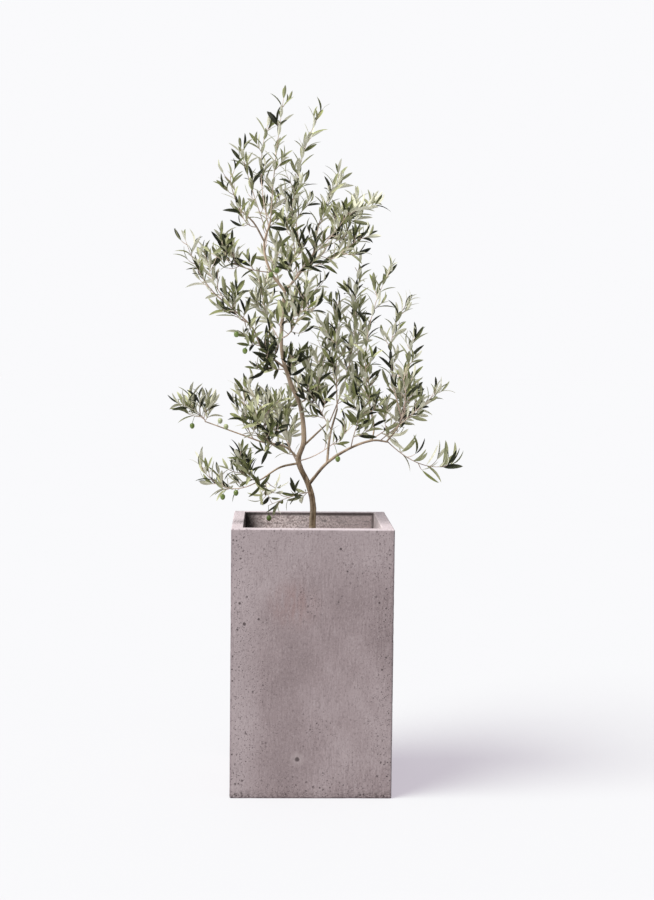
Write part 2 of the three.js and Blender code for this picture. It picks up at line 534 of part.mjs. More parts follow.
// What every twig and leaf keeps clear of, as balls along the limbs and stems.
const obstacles = [
  ...limbs.flatMap((limb) => {
    const count = Math.ceil(limb.curve.getLength() / OBSTACLE_STEP) + 1;
    return samples(limb.curve, 0, count).map((centre, i) => (
      { centre, radius: limbRadius(limb, i / (count - 1)) }));
  }),
  ...masses.flatMap((mass) => {
    const count = Math.ceil(mass.stem.getLength() / OBSTACLE_STEP) + 1;
    return samples(mass.stem, 0, count).map((centre) => ({ centre, radius: mass.radius, mass }));
  }),
];

// The shoots grow in the space round the stems, and the leaves in the space round stems and shoots.
for (const mass of masses) mass.twigs = massTwigs(mass);
for (const mass of masses) {
  mass.space = mass.twigs.flatMap((twig) => (
    twig.number ? samples(twig.curve, LEAFLESS_SHOOT, SHOOT_SAMPLES) : mass.space));
}

const tree = new THREE.Group();

function addNode(parent, name, body, look) {
  const mesh = new THREE.Mesh(geometryOf(body), new THREE.MeshStandardMaterial({ ...look, flatShading: true }));
  mesh.name = name;
  parent.add(mesh);
}

addNode(tree, 'planter', planterSolid(), CONCRETE);
addNode(tree, 'soil', soilSolid(), SOIL);

const wood = new THREE.Group();
tree.add(wood);
limbs.forEach((limb, index) => {
  const whole = limbSolid(limb, 0);
  const cleared = limbs.slice(0, index).reduce((body, earlier) => body.subtract(earlier.clearance), whole);
  addNode(wood, limb.name, largestBody(cleared), BARK);
});

const crown = new THREE.Group();
tree.add(crown);
for (const mass of masses) addNode(crown, mass.name, massSolid(mass), FOLIAGE);

export default tree;
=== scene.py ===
"""The potted olive tree's looks: bark, twigs, leaves, olives, the concrete planter and its soil.

Lengths are in millimetres until a mesh is made. The origin is the middle of the planter's underside.
"""

import bpy
import numpy as np
from mathutils import Matrix, Vector


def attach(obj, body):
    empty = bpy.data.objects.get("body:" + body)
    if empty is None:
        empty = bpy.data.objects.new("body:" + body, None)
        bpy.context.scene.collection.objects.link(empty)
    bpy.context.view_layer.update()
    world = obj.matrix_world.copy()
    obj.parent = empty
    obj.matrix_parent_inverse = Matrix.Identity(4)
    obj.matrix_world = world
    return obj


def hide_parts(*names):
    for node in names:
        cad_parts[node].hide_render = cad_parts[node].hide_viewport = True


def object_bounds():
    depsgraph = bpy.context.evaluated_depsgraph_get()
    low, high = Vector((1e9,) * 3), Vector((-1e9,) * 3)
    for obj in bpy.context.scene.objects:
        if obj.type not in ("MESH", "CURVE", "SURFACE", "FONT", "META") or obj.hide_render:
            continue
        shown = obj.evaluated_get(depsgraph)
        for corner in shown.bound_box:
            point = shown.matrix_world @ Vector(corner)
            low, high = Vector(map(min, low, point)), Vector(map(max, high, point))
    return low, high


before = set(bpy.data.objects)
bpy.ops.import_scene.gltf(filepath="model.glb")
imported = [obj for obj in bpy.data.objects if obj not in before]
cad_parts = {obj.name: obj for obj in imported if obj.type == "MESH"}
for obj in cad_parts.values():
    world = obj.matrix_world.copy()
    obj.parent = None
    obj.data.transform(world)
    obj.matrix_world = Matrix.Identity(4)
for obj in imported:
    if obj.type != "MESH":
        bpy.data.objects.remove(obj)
cad_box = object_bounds()

# Lengths are in millimetres and Blender's are in metres
MM = 0.001
UP = np.array([0.0, 0.0, 1.0])
BACK = np.array([0.0, 1.0, 0.0])
# The side that faces the lamp, for the bark's painted light and painted shade: left, a little forward, and up
PAINTED_LIGHT_SIDE = (-0.72, -0.2, 0.66)

# The picture's size in pixels, and the camera's place, turn in radians and focal length in pixels
IMAGE_SIZE = (654, 900)
SENSOR = 36.0
CAMERA_PLACE = np.array([-107.2, -4338.9, 1174.0])
CAMERA_YAW = 0.0335
CAMERA_PITCH = 0.0752
CAMERA_ROLL = 0.0107
FOCAL_LENGTH = 1710.5

# Planter and soil
PLANTER_HALF = 200.0
PLANTER_HEIGHT = 668.0
WALL = 29.7
OUTER_CORNER = 3.0
INNER_CORNER = 6.0
EDGE = 2.5
SOIL_LEVEL = 608.0
SOIL_GAP = 0.3
SOIL_DEPTH = 60.0
INSIDE_DEPTH = 70.0
# Where the planter's underside starts, and how far in from its wall its inside is closed
FOOT_START = 20.0
CLOSING_STEPS = np.array([60.0, 120.0])
# How finely their meshes are drawn
SIDE_COLUMNS = 92
CORNER_COLUMNS = 5
FOOT_ROWS = 6
WALL_ROWS = 150
RIM_ROWS = 10
INSIDE_ROWS = 14
SOIL_ROWS = 100
SOIL_COLUMNS = (60, 2)
# The round hollows in the planter's outside: how many, how wide, and how deep as a share of their radius
HOLLOW_COUNT = 60
HOLLOW_RADII = (4.0, 8.0)
HOLLOW_DEPTH = 0.1
# The chips at its edges: how far in they reach, how far apart they are, and how deep
CHIP_REACH = 2.5
CHIP_SPACING = 34
CHIP_DEPTH = 1.6

# Places on the planter that have a look of their own, in metres: a rust-tinged patch, a round paler plug
# about the lowest of the larger pits, and those pits of the front as (x, height, radius)
RUST_PLACE = (-0.046, -0.2, 0.483)
PLUG_PLACE = (-0.034, -0.2, 0.098)
PLUG_RADIUS = 0.018
FRONT_PITS = [
    (-0.166, 0.434, 0.0052), (-0.131, 0.446, 0.0036), (-0.178, 0.485, 0.0042), (-0.176, 0.595, 0.003),
    (0.068, 0.62, 0.0034), (0.085, 0.565, 0.003), (0.164, 0.488, 0.0034), (-0.034, 0.098, 0.0069)]
# How much paler the rim's top is painted: painted light, where the lamp falls most
RIM_PAINTED_LIGHT = 0.65
INSIDE_WALL = (PLANTER_HALF - WALL) * MM
RIM_TOP = PLANTER_HEIGHT * MM

# Bark
TRUNK_FLARE = 3.4
FLARE_HEIGHT = 24.0
BARK_SIDES = 28
BARK_STEP = 2.5
RIDGE_LENGTH = 60.0
KNOT_SPACING = 70.0
KNOT_HEIGHT = 5.0
BUMP_WIDTH = 4.0
BUMP_HEIGHT = 9.0
# How deep its relief is, as shares of the radius
RIDGE_DEPTH = 0.10
BUMP_DEPTH = 0.07
KNOT_DEPTH = 0.12

# Growth of twigs and leaves
SHOOT_OPENING = np.radians(48)
SHOOT_LENGTH = 1.5
SHOOT_FORWARD = 0.85
SHOOT_LIFT = 0.225
SHOOT_SHORTEST = 0.5
SHOOT_LENGTH_VARIES = (0.8, 1.2)
# The shares of its length at which a twig is tried against its space
CUT_STEP = 1 / 8
CUTS = np.arange(3, 9) * CUT_STEP
FIRST_SHOOT = 0.06
LAST_SHOOT = 0.92
HIGHEST_SHOOT = 0.94
TURN_BETWEEN_MASSES = 1.7
GOLDEN_ANGLE = np.radians(137.508)
SHOOT_RADIUS = 1.1
TWIG_TIP_RADIUS = 0.65
SPRIG_PLACES = (0.34, 0.66)
SPRIG_LENGTH = 0.5
SPRIG_OPENING = np.radians(42)
SPRIG_BEARER = 52.0
SPRIG_NUMBER = 40
SPRIG_DRAW = 3.1
LEAFLESS_STEM = 0.08
LEAFLESS_SHOOT = 0.2
LEAF_SPACING = 12.5
LEADER_SPACING = 21.0
TIP_PAIR_SETBACK = 1.2
LEAF_LENGTH = 46.0
LEAF_WIDTH = 0.21
LEAF_THICKNESS = 0.5
LEAF_ARCH = (0.06, 0.6)
LEAF_FOLD = (0.015, 0.055)
LEAF_LEAN = 0.6
LEAF_OPENING = np.radians(46)
TIP_LEAF_OPENING = np.radians(22)
TIP_LEAF_SIZE = 0.82
LEAF_LIFT = 0.3
LEAF_TURN_VARIES = (-0.25, 0.25)
LEAF_TILT_VARIES = (-0.2, 0.2)
LEAF_SIZE_VARIES = (0.78, 1.14)
# What sets the draws of one mass's leaves and of one twig's apart from the next
MASS_DRAW = 31
TWIG_DRAW = 7.3
# Where along a leaf it is tried against its space, and where it is broadest
LEAF_MIDDLE = np.array([0.3, 0.6, 0.8, 1.0])
LEAF_BROADEST = 0.42
# Masses whose leaves stand wider apart or closer than usual, where the crown is open or dense
OPEN_MASSES = [
    "left_upright", "right_tip", "upper_left_tip", "left_mid", "top_left", "back_mid", "right_front",
    "center_high", "front_high"]
DENSE_MASSES = [
    "low_shoot", "upper_right_low", "low_left_upper", "upper_left_mid", "left_back", "trunk_front_left",
    "right_upright", "upper_right"]
# How leaves stand on such a mass: spacing and length as shares of the usual ones, and lift; on the low right
# branch they stand far apart, long and upright
LEAF_HABITS = {
    **dict.fromkeys(OPEN_MASSES, (1.6, 1.0, LEAF_LIFT)),
    **dict.fromkeys(DENSE_MASSES, (0.78, 1.0, LEAF_LIFT)),
    "low_right": (1.7, 1.32, 0.6),
}
OLIVE_RADIUS = 6.3
OLIVE_HALF_LENGTH = 7.6
OLIVE_SIDES = 16
STALK_RADIUS = 0.7
# At how many places along a twig and a limb a stalk can hang
TWIG_HOLDS = 19
LIMB_HOLDS = 60
# The rings and the sides of a stem's tube, a shoot's and a stalk's
STEM_TUBE = (20, 8)
SHOOT_TUBE = (9, 6)
STALK_TUBE = (6, 6)

# The space that each mass keeps to
SPACE_SAMPLES = 16
SHOOT_SAMPLES = 7
STEM_SPACE_START = 0.05
BARE_SHARE_LEFT_OUT = 0.6
SHOOT_OVERREACH = 1.2
LEAF_OVERREACH = 38.0
TWIG_MARGIN = 3.0
LEAF_MARGIN = 0.0
BOX_MARGIN = 1.0
LIMB_CLEARANCE = 2.5
OBSTACLE_STEP = 6.0

# The sky's colour; the lamp's colour and strength, its bearing and height in the sky, and how wide it looks
SKY = (0.955, 0.955, 0.972)
LAMP_COLOUR = (1.0, 0.985, 0.95)
LAMP_STRENGTH = 5.02
LAMP_BEARING = np.radians(28)
LAMP_HEIGHT = np.radians(52)
LAMP_SOFTNESS = np.radians(38)
FILL_SHARE = 0.5
FLOOR_GLOW = (0.503, 0.451, 0.512)
# Half the floor's width, in metres
FLOOR_HALF = 30.0

# The trunk and boughs: root radius, tip radius and the places that the middle line runs through
LIMBS = {
    "trunk": (8.5, 4.4, [(3, 0, 608), (3, 0, 649), (4, 2, 706), (-8, 4, 757), (-34, 0, 818),
        (-21, -4, 872), (-30, -6, 956), (-59, 0, 1024), (-80, 6, 1112), (-73, 0, 1249)]),
    "bough_right": (4.3, 2.2, [(-7, 3, 759), (38, -15, 815), (95, -38, 855), (149, -58, 876),
        (188, -72, 874)]),
    "bough_right_upright": (3.3, 2.2, [(38, -15, 815), (46, 5, 885), (64, 28, 950)]),
    "bough_inner_right": (2.9, 1.9, [(-22, -4, 857), (11, 30, 886), (47, 62, 917)]),
    "bough_low_left": (3.0, 1.9, [(-33, 0, 813), (-81, -28, 804), (-126, -55, 777)]),
    "bough_left": (2.8, 1.4, [(-35, 0, 826), (-71, 15, 855), (-127, 32, 864), (-184, 42, 883),
        (-274, 50, 914)]),
    "bough_upper_left": (3.0, 1.6, [(-70, 2, 1054), (-126, -18, 1100), (-159, -34, 1162),
        (-242, -48, 1234)]),
    "leader_left": (3.7, 2.3, [(-73, 0, 1249), (-110, 8, 1299), (-126, 14, 1362), (-110, 18, 1425)]),
    "bough_top_left": (2.4, 1.7, [(-126, 14, 1374), (-152, -8, 1418), (-187, -28, 1449)]),
    "leader_right": (3.5, 2.2, [(-73, 0, 1249), (-40, 14, 1287), (11, 34, 1362)]),
    "bough_fan": (2.2, 1.6, [(149, -58, 875), (155, -40, 907), (151, -15, 946)]),
    "bough_right_end": (2.2, 1.6, [(186, -71, 876), (208, -80, 905), (228, -95, 948)]),
}

# The masses of foliage: each one's name after "foliage_", the limb its stem leaves, the share of the limb
# where it does, the stem's root radius, its leafless share, how far its shoots reach, how many they are, how
# much shorter they are at its tip, and the places halfway along the stem and at its tip
MASS_KEYS = ("name", "on", "at", "radius", "bare", "reach", "shoots", "taper", "via", "tip")
MASSES = [dict(zip(MASS_KEYS, row)) for row in [
    ("top_leader", "leader_left", 1.0, 1.6, 0.15, 38, 5, 0.8, (-100, 15, 1565), (-80, 5, 1730)),
    ("top_mid", "leader_left", 0.92, 1.4, 0.05, 32, 4, 0.7, (-135, 45, 1550), (-120, 50, 1665)),
    ("top_left_slim", "leader_left", 0.84, 1.4, 0.08, 26, 6, 0.8, (-160, -25, 1510), (-185, -35, 1600)),
    ("top_left", "bough_top_left", 1.0, 1.5, 0.1, 32, 5, 0.5, (-205, -50, 1495), (-210, -60, 1530)),
    ("top_right", "leader_right", 0.6, 1.6, 0.25, 32, 6, 0.8, (-45, 75, 1510), (15, 70, 1705)),
    ("upper_center", "leader_right", 0.35, 1.6, 0.05, 46, 8, 0.5, (-55, -35, 1420), (-50, -45, 1510)),
    ("leader_back", "leader_left", 0.55, 1.5, 0.15, 46, 7, 0.4, (-110, 65, 1435), (-85, 95, 1495)),
    ("upper_right_up", "leader_right", 0.85, 1.5, 0, 37, 6, 0.6, (25, 0, 1460), (65, -10, 1525)),
    ("upper_right", "leader_right", 1.0, 1.6, 0.05, 46, 7, 0.6, (85, 70, 1430), (145, 90, 1475)),
    ("upper_right_front", "leader_right", 0.78, 1.5, 0.05, 38, 6, 0.4, (45, -40, 1390), (85, -60, 1445)),
    ("upper_right_low", "leader_right", 0.5, 1.5, 0.05, 48, 8, 0.5, (50, -40, 1335), (115, -85, 1385)),
    ("fork_front", "leader_right", 0.15, 1.5, 0.15, 50, 8, 0.4, (-25, -45, 1310), (30, -85, 1345)),
    ("fork_back", "leader_left", 0.1, 1.5, 0.15, 40, 7, 0.4, (-95, 65, 1315), (-85, 110, 1355)),
    ("upper_left_inner", "leader_left", 0.3, 1.5, 0.08, 40, 8, 0.3, (-200, -25, 1315), (-225, -50, 1355)),
    ("left_upright", "bough_top_left", 0.4, 1.3, 0.2, 28, 6, 0.5, (-170, -70, 1415), (-185, -90, 1450)),
    ("upper_left_tip", "bough_upper_left", 1.0, 1.5, 0.1, 28, 6, 0.6, (-285, -55, 1290), (-320, -70, 1370)),
    ("upper_left_end", "bough_upper_left", 0.84, 1.5, 0.1, 31, 7, 0.4, (-255, 5, 1275), (-265, 40, 1320)),
    ("upper_left_mid", "bough_upper_left", 0.6, 1.5, 0.15, 40, 7, 0.4, (-190, -85, 1185), (-210, -110, 1215)),
    ("upper_left_low", "bough_upper_left", 0.35, 1.5, 0.15, 32, 7, 0.4,
     (-155, -65, 1125), (-175, -105, 1180)),
    ("left_back", "trunk", 0.8, 1.6, 0.15, 34, 8, 0.3, (-125, 75, 1210), (-120, 115, 1275)),
    ("trunk_front_left", "trunk", 0.7, 1.5, 0.15, 50, 9, 0.3, (-110, -50, 1065), (-120, -90, 1125)),
    ("center_high", "trunk", 0.87, 1.5, 0, 40, 7, 0.4, (-35, 40, 1200), (10, 70, 1260)),
    ("front_high", "trunk", 0.82, 2.0, 0.2, 48, 9, 0.4, (-50, -95, 1160), (-25, -150, 1240)),
    ("center_mid", "trunk", 0.66, 1.5, 0.05, 31, 8, 0.3, (-55, -50, 1065), (-55, -80, 1085)),
    ("back_mid", "trunk", 0.56, 2.4, 0.15, 54, 9, 0.3, (10, 110, 1010), (55, 205, 1140)),
    ("fan_left", "bough_right_upright", 1.0, 1.7, 0.05, 40, 8, 0.6, (60, 30, 1110), (60, 20, 1225)),
    ("fan_back", "bough_inner_right", 1.0, 1.7, 0.05, 38, 9, 0.6, (105, 105, 1100), (100, 100, 1250)),
    ("fan_middle", "bough_fan", 1.0, 1.6, 0.05, 34, 8, 0.7, (110, 0, 1135), (115, -10, 1320)),
    ("fan_front", "bough_fan", 0.55, 1.6, 0, 30, 8, 0.5, (130, -100, 1115), (185, -110, 1300)),
    ("fan_right", "bough_right_end", 0.8, 1.6, 0.05, 28, 8, 0.7, (195, -40, 1110), (240, -40, 1225)),
    ("inner_low", "bough_right_upright", 0.6, 1.5, 0.1, 46, 8, 0.3, (10, -20, 965), (-15, -40, 1005)),
    ("right_upright", "bough_right_end", 1.0, 1.5, 0.05, 24, 6, 0.6, (230, -105, 1040), (245, -105, 1135)),
    ("right_front", "bough_right_end", 0.6, 1.4, 0.1, 34, 5, 0.5, (225, -145, 1005), (205, -150, 1045)),
    ("right_tip", "bough_right", 0.92, 1.5, 0.1, 24, 7, 0.6, (270, -45, 960), (315, -35, 1000)),
    ("right_back", "bough_right", 0.78, 1.5, 0.1, 46, 9, 0.3, (220, 20, 925), (245, 55, 975)),
    ("low_right", "bough_right", 1.0, 1.4, 0, 25, 6, 0.2, (270, -80, 820), (345, -90, 820)),
    ("inner_hanging", "trunk", 0.33, 1.6, 0.35, 30, 5, 0.3, (35, -60, 855), (110, -100, 930)),
    ("right_mid", "bough_right", 0.6, 1.5, 0.05, 46, 9, 0.3, (110, -100, 920), (135, -135, 980)),
    ("left_inner", "trunk", 0.27, 2.2, 0.1, 50, 9, 0.3, (-75, 90, 890), (-85, 150, 945)),
    ("left_mid", "bough_left", 0.5, 1.5, 0, 38, 9, 0.4, (-170, 10, 930), (-170, 0, 1005)),
    ("left_front", "bough_left", 0.25, 1.5, 0, 46, 9, 0.3, (-115, -40, 880), (-125, -75, 965)),
    ("far_left", "bough_left", 1.0, 1.4, 0.0, 38, 9, 0.4, (-285, 55, 930), (-320, 50, 960)),
    ("low_left_upper", "bough_low_left", 0.95, 1.5, 0.1, 38, 7, 0.3, (-155, -90, 780), (-190, -105, 815)),
    ("low_left_tip", "bough_low_left", 1.0, 1.5, 0.15, 30, 7, 0.4, (-210, -75, 755), (-280, -90, 810)),
    ("low_front", "bough_low_left", 0.85, 1.4, 0.1, 38, 8, 0.3, (-115, -45, 750), (-100, -60, 715)),
    ("low_shoot", "trunk", 0.2, 1.4, 0, 22, 5, 0.3, (-55, -40, 730), (-110, -60, 710)),
]]


# Curves

def unit(vectors):
    """Each vector divided by its own length."""
    return vectors / np.maximum(np.linalg.norm(vectors, axis=-1, keepdims=True), 1e-9)


def draw(seed, place, low=0.0, high=1.0):
    """What is left over from a fast sine wave of the seed and the place, spread between two limits."""
    wave = np.sin(seed * 12.9898 + place * 78.233) * 43758.5453
    return low + (high - low) * (wave - np.floor(wave))


def sideways(direction, angle):
    """A unit vector square to a direction, turned round it by an angle from the upward side."""
    upward = np.where(np.abs(direction[..., 2:]) < 0.9, UP, BACK)
    first = unit(upward - direction * np.sum(upward * direction, axis=-1, keepdims=True))
    second = np.cross(direction, first)
    angle = np.asarray(angle)[..., None]
    return first * np.cos(angle) + second * np.sin(angle)


def opened(slope, angle, opening, lift=0.0):
    """The way that opens from a slope by an angle of its own, turned round the slope, and is then lifted."""
    opening, lift = np.asarray(opening)[..., None], np.asarray(lift)[..., None]
    return unit(slope * np.cos(opening) + sideways(slope, angle) * np.sin(opening) + UP * lift)


def chain_length(places):
    """The length of the straight steps from place to place."""
    return np.sum(np.linalg.norm(np.diff(np.array(places, dtype=float), axis=0), axis=1))


def spline(places, shares):
    """A cubic through all the places, its slope at each one half the step between its two neighbours."""
    places = np.array(places, dtype=float)
    padded = np.vstack([2 * places[0] - places[1], places, 2 * places[-1] - places[-2]])
    position = np.asarray(shares, dtype=float) * (len(places) - 1)
    piece = np.minimum(position.astype(int), len(places) - 2)
    part = (position - piece)[:, None]
    before, start, end, after = (padded[piece + k] for k in range(4))
    slope, last_slope = (end - before) / 2, (after - start) / 2
    square = 3 * (end - start) - 2 * slope - last_slope
    cube = 2 * (start - end) + slope + last_slope
    return start + part * (slope + part * (square + part * cube))


def place_along(places, share):
    """The place at a share of a spline's length, from its length added up over 200 steps."""
    steps = np.linspace(0, 1, 201)
    line = spline(places, steps)
    lengths = np.concatenate([[0], np.cumsum(np.linalg.norm(np.diff(line, axis=0), axis=1))])
    return spline(places, [np.interp(share * lengths[-1], lengths, steps)])[0]


def arc(curves, shares):
    """Places on quadratic curves, each the blend (1-s)^2 root + 2s(1-s) bend + s^2 tip at its share s."""
    share = np.asarray(shares)[..., None]
    root, bend, tip = (curves[:, None, k] for k in range(3))
    return (1 - share) ** 2 * root + 2 * share * (1 - share) * bend + share ** 2 * tip


def arc_direction(curves, shares):
    """The unit slope of quadratic curves at one share each."""
    share = np.asarray(shares)[:, None]
    root, bend, tip = (curves[:, k] for k in range(3))
    return unit((1 - share) * (bend - root) + share * (tip - bend))


def arc_length(curves):
    """The length of each quadratic curve, added up over 24 steps."""
    steps = np.broadcast_to(np.linspace(0, 1, 25), (len(curves), 25))
    return np.sum(np.linalg.norm(np.diff(arc(curves, steps), axis=1), axis=2), axis=1)


# Meshes

def grid_faces(rows, columns, start=0):
    """The four corners of each cell of a grid whose columns close on themselves."""
    row, column = np.meshgrid(np.arange(rows - 1), np.arange(columns), indexing="ij")
    here = row * columns + column
    beside = row * columns + (column + 1) % columns
    return start + np.stack([here, beside, beside + columns, here + columns], axis=-1).reshape(-1, 4)


def closed_grid(points):
    """A grid (rows, columns, 3) closed round its columns, with a fan of triangles to the middle of each end
    row.

    Gives its vertices, its four-sided faces and its triangles.
    """
    rows, columns = points.shape[:2]
    ends = np.stack([points[0].mean(axis=0), points[-1].mean(axis=0)])
    vertices = np.vstack([points.reshape(-1, 3), ends])
    column = np.arange(columns)
    beside = (column + 1) % columns
    low = np.stack([np.full(columns, rows * columns), beside, column], axis=1)
    last = (rows - 1) * columns
    high = np.stack([np.full(columns, rows * columns + 1), last + column, last + beside], axis=1)
    return vertices, grid_faces(rows, columns), np.vstack([low, high])


def joined(shapes):
    """Several shapes' vertices and faces as one, each shape's faces counted on from the last."""
    vertices, squares, triangles, count = [], [], [], 0
    for points, four, three in shapes:
        vertices.append(points)
        squares.append(four + count)
        triangles.append(three + count)
        count += len(points)
    return np.vstack(vertices), np.vstack(squares), np.vstack(triangles)


def piece(name, shape, looks, slot, nodes, look_of_face=None, smooth=True):
    """One piece of the tree: a mesh in metres that rides on the root, with its looks and CAD nodes.

    The slot is not used.
    """
    points, squares, triangles = shape
    mesh = bpy.data.meshes.new(name)
    mesh.from_pydata((points * MM).tolist(), [], squares.tolist() + triangles.tolist())
    for look in looks:
        mesh.materials.append(look)
    if look_of_face is not None:
        mesh.polygons.foreach_set("material_index", look_of_face.astype(np.int32))
    mesh.polygons.foreach_set("use_smooth", np.full(len(mesh.polygons), smooth))
    mesh.update()
    made = bpy.data.objects.new(name, mesh)
    bpy.context.scene.collection.objects.link(made)
    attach(made, "root")
    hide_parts(*nodes)


def tubes(curves, radii, rings, sides):
    """Tapering tubes along quadratic curves: every ring stands square to its curve, and the ends are closed.

    radii holds each tube's root and tip radius. All the tubes are worked out as one array.
    """
    shares = np.broadcast_to(np.linspace(0, 1, rings), (len(curves), rings))
    centres = arc(curves, shares)
    slopes = unit(np.gradient(centres, axis=1))
    chord = unit(curves[:, 2] - curves[:, 0])
    first = sideways(chord, np.zeros(len(curves)))[:, None, :]
    first = unit(first - slopes * np.sum(first * slopes, axis=-1, keepdims=True))
    second = np.cross(slopes, first)
    turn = np.linspace(0, 2 * np.pi, sides, endpoint=False)[:, None]
    radius = (radii[:, :1] + (radii[:, 1:] - radii[:, :1]) * shares)[..., None, None]
    ring = first[:, :, None] * np.cos(turn) + second[:, :, None] * np.sin(turn)
    grids = centres[:, :, None] + radius * ring
    return joined([closed_grid(grid) for grid in grids])


# Growth

def of_masses(key):
    """One number of every mass."""
    return np.array([mass[key] for mass in MASSES], dtype=float)


def stem_curves():
    """Each mass's stem: the quadratic curve from its limb through the place it passes halfway to its tip."""
    curves = []
    for mass in MASSES:
        start = place_along(LIMBS[mass["on"]][2], mass["at"])
        tip, via = np.array(mass["tip"], dtype=float), np.array(mass["via"], dtype=float)
        curves.append([start, 2 * via - (start + tip) / 2, tip])
    return np.array(curves)


def limb_radius(name, shares, heights):
    """A limb's radius, even from root to tip, and for the trunk a flare that dies away above the soil."""
    root, tip, _ = LIMBS[name]
    plain = root + (tip - root) * shares
    if name != "trunk":
        return plain
    return plain + TRUNK_FLARE * np.exp((SOIL_LEVEL - heights) / FLARE_HEIGHT)


def obstacle_balls(stems):
    """Balls along every limb and stem that twigs and leaves keep clear of: centre, radius and own mass."""
    centres, radii, owners = [], [], []
    for name, (_, _, places) in LIMBS.items():
        length = chain_length(places)
        shares = np.linspace(0, 1, int(length / OBSTACLE_STEP) + 2)
        line = spline(places, shares)
        centres.append(line)
        radii.append(limb_radius(name, shares, line[:, 2]))
        owners.append(np.full(len(line), -1))
    lengths = arc_length(stems)
    for index, mass in enumerate(MASSES):
        count = int(lengths[index] / OBSTACLE_STEP) + 2
        shares = np.linspace(0, 1, count)
        centres.append(arc(stems[index:index + 1], shares[None])[0])
        radii.append(mass["radius"] + (TWIG_TIP_RADIUS - mass["radius"]) * shares)
        owners.append(np.full(count, index))
    return np.vstack(centres), np.concatenate(radii), np.concatenate(owners)


class Space:
    """The room that each mass keeps to: the points nearer to its own twigs than to any other mass's."""

    def __init__(self, places, owners, balls):
        self.places = places
        self.owners = owners
        self.balls = balls

    def holds(self, points, owner, reach, margin):
        """Which points are within their own mass's reach, nearest to that mass, and clear of limbs."""
        kept = np.zeros(len(points), dtype=bool)
        centres, radii, ball_owners = self.balls
        for mass in np.unique(owner):
            chosen = np.flatnonzero(owner == mass)
            here = points[chosen][:, None]
            far = np.linalg.norm(here - self.places, axis=2)
            own = far[:, self.owners == mass].min(axis=1)
            other = far[:, self.owners != mass].min(axis=1)
            strange = ball_owners != mass
            clear = np.linalg.norm(here - centres[strange], axis=2) - radii[strange] > LIMB_CLEARANCE
            kept[chosen] = (own < reach[chosen]) & (other > own + margin) & clear.all(axis=1)
        return kept


def cut_to_space(curves, owner, reach, space):
    """Curves cut back to the last share tried before they leave their space, and which ones are kept."""
    count = len(curves)
    points = arc(curves, np.broadcast_to(CUTS, (count, len(CUTS)))).reshape(-1, 3)
    repeat = np.repeat(np.arange(count), len(CUTS))
    inside = space.holds(points, owner[repeat], reach[repeat], TWIG_MARGIN).reshape(count, -1)
    steps_inside = np.cumprod(inside, axis=1).sum(axis=1)
    kept = CUTS[0] + (steps_inside - 1) * CUT_STEP
    tips = arc(curves, kept[:, None])[:, 0]
    bends = curves[:, 0] + (curves[:, 1] - curves[:, 0]) * kept[:, None]
    return np.stack([curves[:, 0], bends, tips], axis=1), kept >= SHOOT_SHORTEST


def side_curves(roots, directions, lengths):
    """Shoots: from the root, straight on for half the length, then bending upwards to the tip."""
    lengths = lengths[:, None]
    bends = roots + directions * 0.5 * lengths
    tips = roots + directions * SHOOT_FORWARD * lengths + UP * SHOOT_LIFT * lengths
    return np.stack([roots, bends, tips], axis=1)


def grow_shoots(stems, space):
    """Every mass's side shoots, at even shares of its stem and turned on by the golden angle."""
    owner = np.repeat(np.arange(len(MASSES)), [mass["shoots"] for mass in MASSES])
    number = np.concatenate([np.arange(mass["shoots"]) for mass in MASSES])
    count, bare, reach, taper = (of_masses(key)[owner] for key in ("shoots", "bare", "reach", "taper"))
    seed = owner + 1
    step = (number + draw(seed, number, 0, 0.5)) / np.maximum(count - 1, 1)
    first = bare + FIRST_SHOOT
    along = np.minimum(first + (LAST_SHOOT - first) * step, HIGHEST_SHOOT)
    stem = stems[owner]
    slope = arc_direction(stem, along)
    angle = seed * TURN_BETWEEN_MASSES + number * GOLDEN_ANGLE
    direction = opened(slope, angle, SHOOT_OPENING)
    length = reach * SHOOT_LENGTH * (1 - taper * along) * draw(seed, number + 20, *SHOOT_LENGTH_VARIES)
    roots = arc(stem, along[:, None])[:, 0]
    curves, kept = cut_to_space(side_curves(roots, direction, length), owner, reach * SHOOT_OVERREACH, space)
    return curves[kept], owner[kept], angle[kept], number[kept] + 1


def grow_sprigs(shoots, owner, angle, number, space):
    """The finer twigs: one at each sprig place of every long shoot, by the rule that grew the shoots."""
    long_ones = np.flatnonzero(arc_length(shoots) > SPRIG_BEARER)
    bearer = np.repeat(long_ones, len(SPRIG_PLACES))
    turn = np.tile(np.arange(len(SPRIG_PLACES)), len(long_ones))
    along = np.array(SPRIG_PLACES)[turn]
    slope = arc_direction(shoots[bearer], along)
    own_angle = angle[bearer] + (turn + 0.5) * GOLDEN_ANGLE
    direction = opened(slope, own_angle, SPRIG_OPENING)
    varied = draw(owner[bearer] + 1, number[bearer] * SPRIG_DRAW + turn, *SHOOT_LENGTH_VARIES)
    length = arc_length(shoots)[bearer] * SPRIG_LENGTH * varied
    roots = arc(shoots[bearer], along[:, None])[:, 0]
    reach = of_masses("reach")[owner[bearer]] * SHOOT_OVERREACH
    curves, kept = cut_to_space(side_curves(roots, direction, length), owner[bearer], reach, space)
    own_number = number[bearer] + SPRIG_NUMBER * (turn + 1)
    return curves[kept], owner[bearer][kept], own_angle[kept], own_number[kept]


